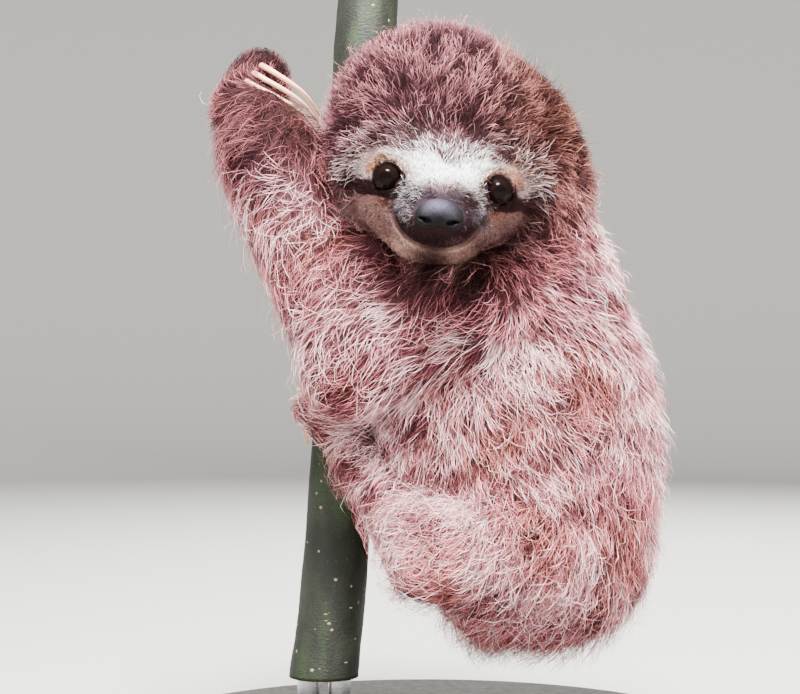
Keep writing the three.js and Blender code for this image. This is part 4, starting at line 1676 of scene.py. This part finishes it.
        way = self.lie(roots, shares)
        points = [roots - 0.4 * normals]
        facing = [normals]
        here, normal = roots, normals
        for step in range(1, layer.segments + 1):
            t = step / layer.segments
            flat = unit(way - normal * (way * normal).sum(axis=1)[:, None])
            ahead = turned(flat, normal, heading + curl * (t - 0.5))
            here = here + ahead * (length / layer.segments)[:, None]
            height, grade = slope(self.anatomy.skin, here, 0.3)
            normal = unit(grade)
            wanted = depth * loft * min(1.0, 1.5 * t) ** 0.8 * (1 - 0.12 * t)
            shift = np.clip(wanted - height, -4, 4 * t + 1.5)
            here = here + normal * shift[:, None]
            points.append(here)
            facing.append(normal)
        paths, facing = np.stack(points, axis=1), np.stack(facing, axis=1)
        paths = self.gathered(paths, layer, rng, stray)
        jitter = rng.normal(0, self.JITTER.get(piece.growth, 2.5), (count, 3))
        colour, tip, pale = self.markings.at(roots + jitter * (1 + brow)[:, None])
        # Lock brightness by clump: bright locks get pale, whitened tips, which are partly bleached hair and
        # partly painted highlight; the dimmest locks are partly their own darker tone and partly painted
        # shade in the gaps between clumps.
        dim = np.select([kind > 0.88, kind > 0.6], [0.08, 0.3], 1.0)
        colour = colour * (dim * rng.uniform(*layer.shade, count))[:, None]
        bright, middling = rng.uniform(1.6, 2.9, count), rng.uniform(0.45, 1.0, count)
        gain = np.select([kind < 0.32, kind < 0.6], [bright, middling], 0.08)
        pale = np.clip(pale * gain + 0.3 * stray * (pale > 0.04), 0, 1)
        if not short:
            tip = mix(tip, tone(self.markings.tan), 0.6 * (rng.random(count) < 0.25))
        bleach_and_highlight = 0.1 if piece.growth is Growth.CROWN else 0.5
        tip = mix(tip, np.ones(3), bleach_and_highlight * rise(0.5, 1.0, pale))
        self.mesh(piece, paths, facing, width, colour, tip, pale, material)

    def gathered(self, paths: Array, layer: Layer, rng: np.random.Generator, stray: Array) -> Array:
        """Draws locks together towards the leaders near them, more so at their tips."""
        if not layer.pull:
            return paths
        leaders = rng.choice(len(paths), len(paths) // self.LOCKS_TO_A_LEADER, replace=False)
        tree = kdtree.KDTree(len(leaders))
        for number, leader in enumerate(leaders):
            tree.insert(paths[leader, 0], number)
        tree.balance()
        nearest = leaders[[tree.find(root)[1] for root in paths[:, 0]]]
        t = np.linspace(0, 1, paths.shape[1])
        strength = layer.pull * rng.uniform(0.2, 1.3, len(paths)) * ~stray
        return paths + (paths[nearest] - paths) * (strength[:, None] * t**1.6)[..., None]

    def mesh(
        self,
        piece: CoatPiece,
        paths: Array,
        facing: Array,
        width: Array,
        colour: Array,
        tip: Array,
        pale: Array,
        material: bpy.types.Material,
    ) -> None:
        """Builds the locks as closed three-sided spikes, paints them and lays out their bake map."""
        count, levels = paths.shape[:2]
        rings = levels - 1
        along = unit(np.gradient(paths, axis=1))
        side = unit(np.cross(facing, along))
        top = np.cross(along, side)
        t = np.linspace(0, 1, levels)
        shape = (0.7 + 0.3 * np.minimum(t / 0.3, 1)) * (1 - t**2.2)
        angle = np.radians([90, 210, 330])
        reach = (width[:, None] / 2 * shape)[:, :rings, None, None]
        ring = paths[:, :rings, None] + reach * (
            side[:, :rings, None] * np.cos(angle)[:, None]
            + 0.7 * top[:, :rings, None] * np.sin(angle)[:, None]
        )
        each = rings * 3 + 1
        vertices = np.concatenate([ring.reshape(count, rings * 3, 3), paths[:, -1:]], axis=1)
        faces = [(2, 1, 0)]
        for k in range(rings):
            for j in range(3):
                a, b = 3 * k + j, 3 * k + (j + 1) % 3
                if k == rings - 1:
                    faces.append((a, b, rings * 3))
                else:
                    faces += [(a, b, b + 3), (a, b + 3, a + 3)]
        faces = (np.arange(count) * each)[:, None, None] + np.array(faces)
        made = Shell(vertices.reshape(-1, 3), faces.reshape(-1, 3)).object(piece.name, material)
        level = np.append(np.repeat(t[:rings], 3), 1.0)
        blend = pale[:, None] * rise(0.05, 0.7, level)
        shades = colour[:, None] + (tip - colour)[:, None] * blend[..., None]
        paint(made, "marking", shades.reshape(-1, 3))
        paint(made, "along", np.tile(level, count))
        across = np.append(np.tile([0.0, 0.5, 1.0], rings), 0.5)
        lift = level * 0.85 + np.append(np.tile([0.0, 0.15, 0.0], rings), 0.15)
        local = np.stack([across, lift], axis=-1) * self.patch
        spots = self.unwrapped(piece, paths[:, 0])[:, None] + local
        layout = made.data.uv_layers.new(name="OFBake")
        layout.data.foreach_set("uv", spots.reshape(-1, 2)[faces.ravel()].astype(np.float32).ravel())
        slots = {Growth.CROWN: "head_fur", Growth.FACE: "head_fur", Growth.PAW: "paw_fur"}
        place(made, slots.get(piece.growth, "body_fur"))

    def unwrapped(self, piece: CoatPiece, roots: Array) -> Array:
        """Places of the roots on an unwrap round each part's own axis, one column for each part."""
        rows = [self.anatomy.names.index(name) for name in piece.parts]
        columns = np.argmin(self.anatomy.own(roots)[rows], axis=0)
        spots = np.zeros((len(roots), 2))
        for column, name in enumerate(piece.parts):
            mine = columns == column
            start, end = self.axis(name)
            along = unit(end - start)
            aside = unit(np.cross(along, [0.3, 0.9, 0.2]))
            offset = roots[mine] - start
            height = offset @ along
            angle = np.arctan2(offset @ np.cross(along, aside), offset @ aside)
            turn = angle / (2 * math.pi) + 0.5
            spots[mine, 0] = (column + 0.02 + 0.96 * turn) / len(piece.parts)
            spots[mine, 1] = height
        low, high = spots.min(axis=0), spots.max(axis=0)
        return 0.004 + (0.992 - self.patch) * (spots - low) / (high - low)

    def axis(self, name: str) -> tuple[Array, Array]:
        """The axis that a part is unwrapped round."""
        shape = self.anatomy.parts[name].shapes[0]
        if isinstance(shape, Limb):
            return np.array(shape.start.at), np.array(shape.end.at)
        if name == "head":
            return self.anatomy.head.out(np.array([[0, -40, -8], [0, 30, -4]], float))
        return np.array(shape.centre) - [0, 0, 50], np.array(shape.centre) + [0, 0, 50]


# ------------------------------------------------------------------ eyes, nose and claws


@dataclass
class Features:
    """The eyes and the nose pad."""

    head: HeadFrame
    face: Face
    bulge: float = 0.3
    nose_cell: float = 0.35

    def build(self) -> None:
        """Makes both eyes and the nose pad."""
        finish = EyeFinish().material()
        for side, name in ((-1, "eye_right"), (1, "eye_left")):
            self.eye(side, f"{name}_ball", finish, name)
        self.nose()

    def eye(self, side: int, name: str, material: bpy.types.Material, node: str) -> None:
        """Turns a ball with a raised cornea and looks it along the gaze."""
        angle = np.linspace(math.pi, 0, 49)[1:-1]
        reach = self.face.eye_radius + self.bulge * rise(0.75, 0.35, angle) - 0.02
        ball = lathe(list(zip(reach * np.sin(angle), reach * np.cos(angle))), 64)
        polar = np.arctan2(np.linalg.norm(ball.vertices[:, :2], axis=1), ball.vertices[:, 2]) / math.pi
        across, up, out = self.face.eye_axes(side)
        centre = self.face.eye_centres()[0 if side < 0 else 1]
        ball.vertices = self.head.out(ball.vertices @ np.stack([across, up, out]) + centre)
        if np.linalg.det(np.stack([across, up, out])) < 0:
            ball.faces = ball.faces[:, ::-1]
        piece = ball.object(name, material)
        paint(piece, "polar", polar)
        place(piece, "eye", node)

    def nose_distance(self, local: Array) -> Array:
        """The nose pad's field in the head's frame: a broad pad with two wings and two nostrils."""
        x, y, z = self.face.nose
        side = np.abs(local[:, 0] - x)
        mirrored = np.stack([side, local[:, 1] - y, local[:, 2] - z], axis=-1)
        pad = Egg((0, 0.3, 0.6), (6.6, 4.3, 4.6)).distance(mirrored)
        wing = Egg((4.4, -0.4, -1.0), (3.2, 3.5, 3.2)).distance(mirrored)
        shaped = smooth_min(pad, wing, 2.0)
        shaped = shaped + 0.55 * np.exp(-((side / 0.55) ** 2)) * rise(0.5, -2.5, mirrored[:, 2])
        nostril = Egg((3.5, -4.1, -1.8), (1.3, 2.0, 0.8)).distance(mirrored)
        comma = Egg((5.2, -3.0, -1.2), (1.1, 2.0, 0.45)).distance(mirrored)
        return smooth_max(shaped, -smooth_min(nostril, comma, 1.0), 0.5)

    def nose(self) -> None:
        """Nets the nose pad and paints the sheen on its top."""
        centre = np.array(self.face.nose)
        span = np.array([9.0, 6.5, 7.0])
        coarse = net(self.nose_distance, centre - span, centre + span, self.nose_cell)
        shell = settled(coarse, self.nose_distance, 3, 0.4)
        local = shell.vertices - centre
        # Painted sheen on the top of the pad, where the light catches it.
        painted_sheen = np.exp(-(((local[:, 0] + 1.0) / 3.8) ** 2) - ((local[:, 2] - 3.4) / 2.0) ** 2)
        shell.vertices = self.head.out(shell.vertices)
        piece = shell.object("nose_pad", NoseFinish().material())
        paint(piece, "painted_sheen", painted_sheen)
        place(piece, "nose_pad", "nose")


@dataclass(frozen=True)
class Mark:
    """A place beside the stem: height, angle in degrees and distance from its axis."""

    height: float
    angle: float
    reach: float


@dataclass(frozen=True)
class Grip:
    """The middle claw of a paw, and the steps from it to its two neighbours."""

    paw: Triple
    start: Mark
    middle: Mark
    end: Mark
    step: tuple[float, float, float]


@dataclass
class Claws:
    """The twelve hooked claws."""

    stem: Stem
    root_radius: float = 1.2
    tip_radius: float = 0.45
    root: float = 6.0
    rings: int = 36
    sides: int = 20
    grips: Mapping[str, Grip] = field(
        default_factory=lambda: {
            "hand_left": Grip(
                (-60, 30, 241),
                Mark(238.5, 219, 42.5),
                Mark(232, 227, 31.5),
                Mark(222, 195, 12.6),
                (3.0, -3.0, 2.9),
            ),
            "hand_right": Grip(
                (-17, 67, 205),
                Mark(211, 108, 21),
                Mark(211, 138, 19.5),
                Mark(205, 178, 12.6),
                (3.8, 0, 3),
            ),
            "foot_left": Grip(
                (-40.5, 16, 124.5),
                Mark(128, 236, 21),
                Mark(128, 206, 18.5),
                Mark(122.5, 163, 12.7),
                (3.6, 0, 3),
            ),
            "foot_right": Grip(
                (-24, 58, 113),
                Mark(119, 110, 20.5),
                Mark(119, 138, 18.5),
                Mark(114, 176, 12.7),
                (3.6, 0, 3),
            ),
        }
    )

    def line(self, grip: Grip, index: int) -> Array:
        """The axis of one claw; index -1, 0 or 1 counts from the lowest."""
        rise_, reach, end_rise = grip.step

        def shifted(mark: Mark, height: float, out: float) -> Array:
            """A mark of the middle claw, moved to this claw."""
            return self.stem.beside(mark.height + height * index, mark.angle, mark.reach + out * index)

        start = shifted(grip.start, rise_, reach)
        middle = shifted(grip.middle, (rise_ + end_rise) / 2, reach / 2)
        tip = shifted(grip.end, end_rise, 0)
        base = self.stem.beside(grip.start.height, grip.start.angle, grip.start.reach)
        bend = self.stem.beside(grip.middle.height, grip.middle.angle, grip.middle.reach)
        inward = unit(np.array(grip.paw) - base) + unit(base - bend)
        return curve_points([start + self.root * unit(inward), start, middle, tip], self.rings)

    def build(self) -> None:
        """Makes every claw."""
        finish = ClawFinish().material()
        for paw, grip in self.grips.items():
            for index, label in ((-1, "low"), (0, "middle"), (1, "high")):
                path = self.line(grip, index)
                t = np.linspace(0, 1, self.rings)
                radius = self.root_radius + (self.tip_radius - self.root_radius) * t**1.4
                radius = radius * np.sqrt(np.clip((1 - t) / 0.06, 0.02, 1))
                angle = np.arange(self.sides) * 2 * math.pi / self.sides
                section = 1 + 0.1 * np.cos(2 * angle) + 0.05 * np.cos(angle)
                shell = tube(path, radius[:, None] * section, self.sides)
                piece = shell.object(f"horn_{paw}_{label}", finish)
                paint(piece, "along", np.concatenate([np.repeat(t, self.sides), [0.0, 1.0]]))
                place(piece, "claw", f"claw_{paw}_{label}")


# ------------------------------------------------------------------ stand and studio


@dataclass
class Stand:
    """The plain round base and the two rods up into the stem."""

    foot: Triple
    base_radius: float = 112.0
    base_thickness: float = 14.0
    bevel: float = 2.5
    rod_radius: float = 4.0
    rod_spacing: float = 11.0
    rod_ends: tuple[float, float] = (6.0, 45.0)
    collar: tuple[float, float] = (5.3, 1.6)

    def build(self) -> None:
        """Makes the base, the rods and their collars."""
        turn = np.linspace(0, math.pi / 2, 9)
        r, h, b = self.base_radius, self.base_thickness, self.bevel
        edge = [(r - b + b * math.cos(a), h - b + b * math.sin(a)) for a in turn]
        profile = [(r * 0.5, 0.0), (r - 0.8, 0.0), (r, 0.8), *edge, (r * 0.5, h)]
        base = lathe(profile, 192).object("base_disc", LacquerFinish().material())
        place(base, "base_lacquer", "stand_base")
        steel = SteelFinish().material()
        x, y, _ = self.foot
        low, high = self.rod_ends
        for side, name in ((-1, "left"), (1, "right")):
            at = (x + side * self.rod_spacing / 2, y, 0)
            rod_profile = [(self.rod_radius - 0.4, low), (self.rod_radius, low + 0.4)]
            rod_profile += [(self.rod_radius, high - 0.4), (self.rod_radius - 0.4, high)]
            rod = lathe(rod_profile, 48, at)
            place(rod.object(f"rod_{name}", steel), "rod_steel", f"stand_rod_{name}")
            out, tall = self.collar
            collar_profile = [(out, h + 0.05), (out, h + tall - 0.3), (out - 0.3, h + tall)]
            place(lathe(collar_profile, 48, at).object(f"collar_{name}", steel), "rod_steel")


@dataclass
class Studio:
    """The camera, the pale floor and the soft lights."""

    camera: Triple = (-10.0, -650.0, 146.0)
    view_width: float = 272.0
    sensor: float = 36.0
    target: Triple = (15.0, 0.0, 150.0)

    def build(self) -> None:
        """Sets everything up."""
        data = bpy.data.cameras.new("camera")
        data.sensor_width = self.sensor
        data.lens = self.sensor * -self.camera[1] / self.view_width
        camera = bpy.data.objects.new("camera", data)
        camera.location = np.array(self.camera) * MM
        camera.rotation_euler = (math.pi / 2, 0, 0)
        bpy.context.scene.collection.objects.link(camera)
        bpy.context.scene.camera = camera
        self.floor()
        self.light("key", (-20, -470, 960), 0.34, 142.0)
        self.light("front_fill", (-250, -1000, 300), 0.8, 31.0, False)
        self.light("side_fill", (800, -350, 500), 0.6, 19.0, False)
        self.light("back_rim", (250, 800, 800), 0.6, 64.0, False)
        world = bpy.data.worlds.new("studio_air")
        bpy.context.scene.world = world
        world.use_nodes = True
        back = world.node_tree.nodes["Background"]
        back.inputs["Color"].default_value = linear("#f2f1ee")
        back.inputs["Strength"].default_value = 0.5

    def light(self, name: str, at: Triple, size: float, power: float, mirrored: bool = True) -> None:
        """Adds one square area light aimed at the animal.

        Args:
            name: Its name.
            at: Its place in millimetres.
            size: Its side in metres.
            power: Watts.
            mirrored: Whether wet and polished surfaces mirror it.
        """
        data = bpy.data.lights.new(name, "AREA")
        data.size, data.energy = size, power
        lamp = bpy.data.objects.new(name, data)
        lamp.location = np.array(at) * MM
        lamp.visible_glossy = mirrored
        away = Vector(at) - Vector(self.target)
        lamp.rotation_euler = away.to_track_quat("Z", "Y").to_euler()
        bpy.context.scene.collection.objects.link(lamp)

    def floor(self, reach: float = 1500.0, bend: float = 500.0, height: float = 1500.0) -> None:
        """Makes a round floor that curves up into a pale wall on every side."""
        turn = np.linspace(0, math.pi / 2, 24)
        curve = [(reach + bend * math.sin(a), bend * (1 - math.cos(a))) for a in turn]
        profile = [(1.0, 0.0), (reach * 0.5, 0.0), *curve, (reach + bend, height)]
        edge, low = reach + bend + 10, -10.0
        outer = [(1.0, low), (edge, low), (edge, height), (reach + bend, height)]
        sweep = lathe([*outer, *profile[-2::-1]], 128)
        floor = sweep.object("floor", PaperFinish().material())


def main() -> None:
    """Builds the animal from the skin out, then its stem, stand and studio."""
    logging.basicConfig(level=logging.INFO, format="%(name)s %(relativeCreated)d %(message)s")
    Studio().build()
    stem = Stem()
    anatomy = Anatomy()
    markings = Markings(anatomy)
    skin = Skin(anatomy, stem)
    LOG.info("skin net: %d triangles", len(skin.shell.faces))
    skin.build(markings)
    Coat(anatomy, skin, markings).build()
    Features(anatomy.head, anatomy.face).build()
    Claws(stem).build()
    stem.build()
    Stand(stem.foot).build()


if __name__ == "__main__":
    main()
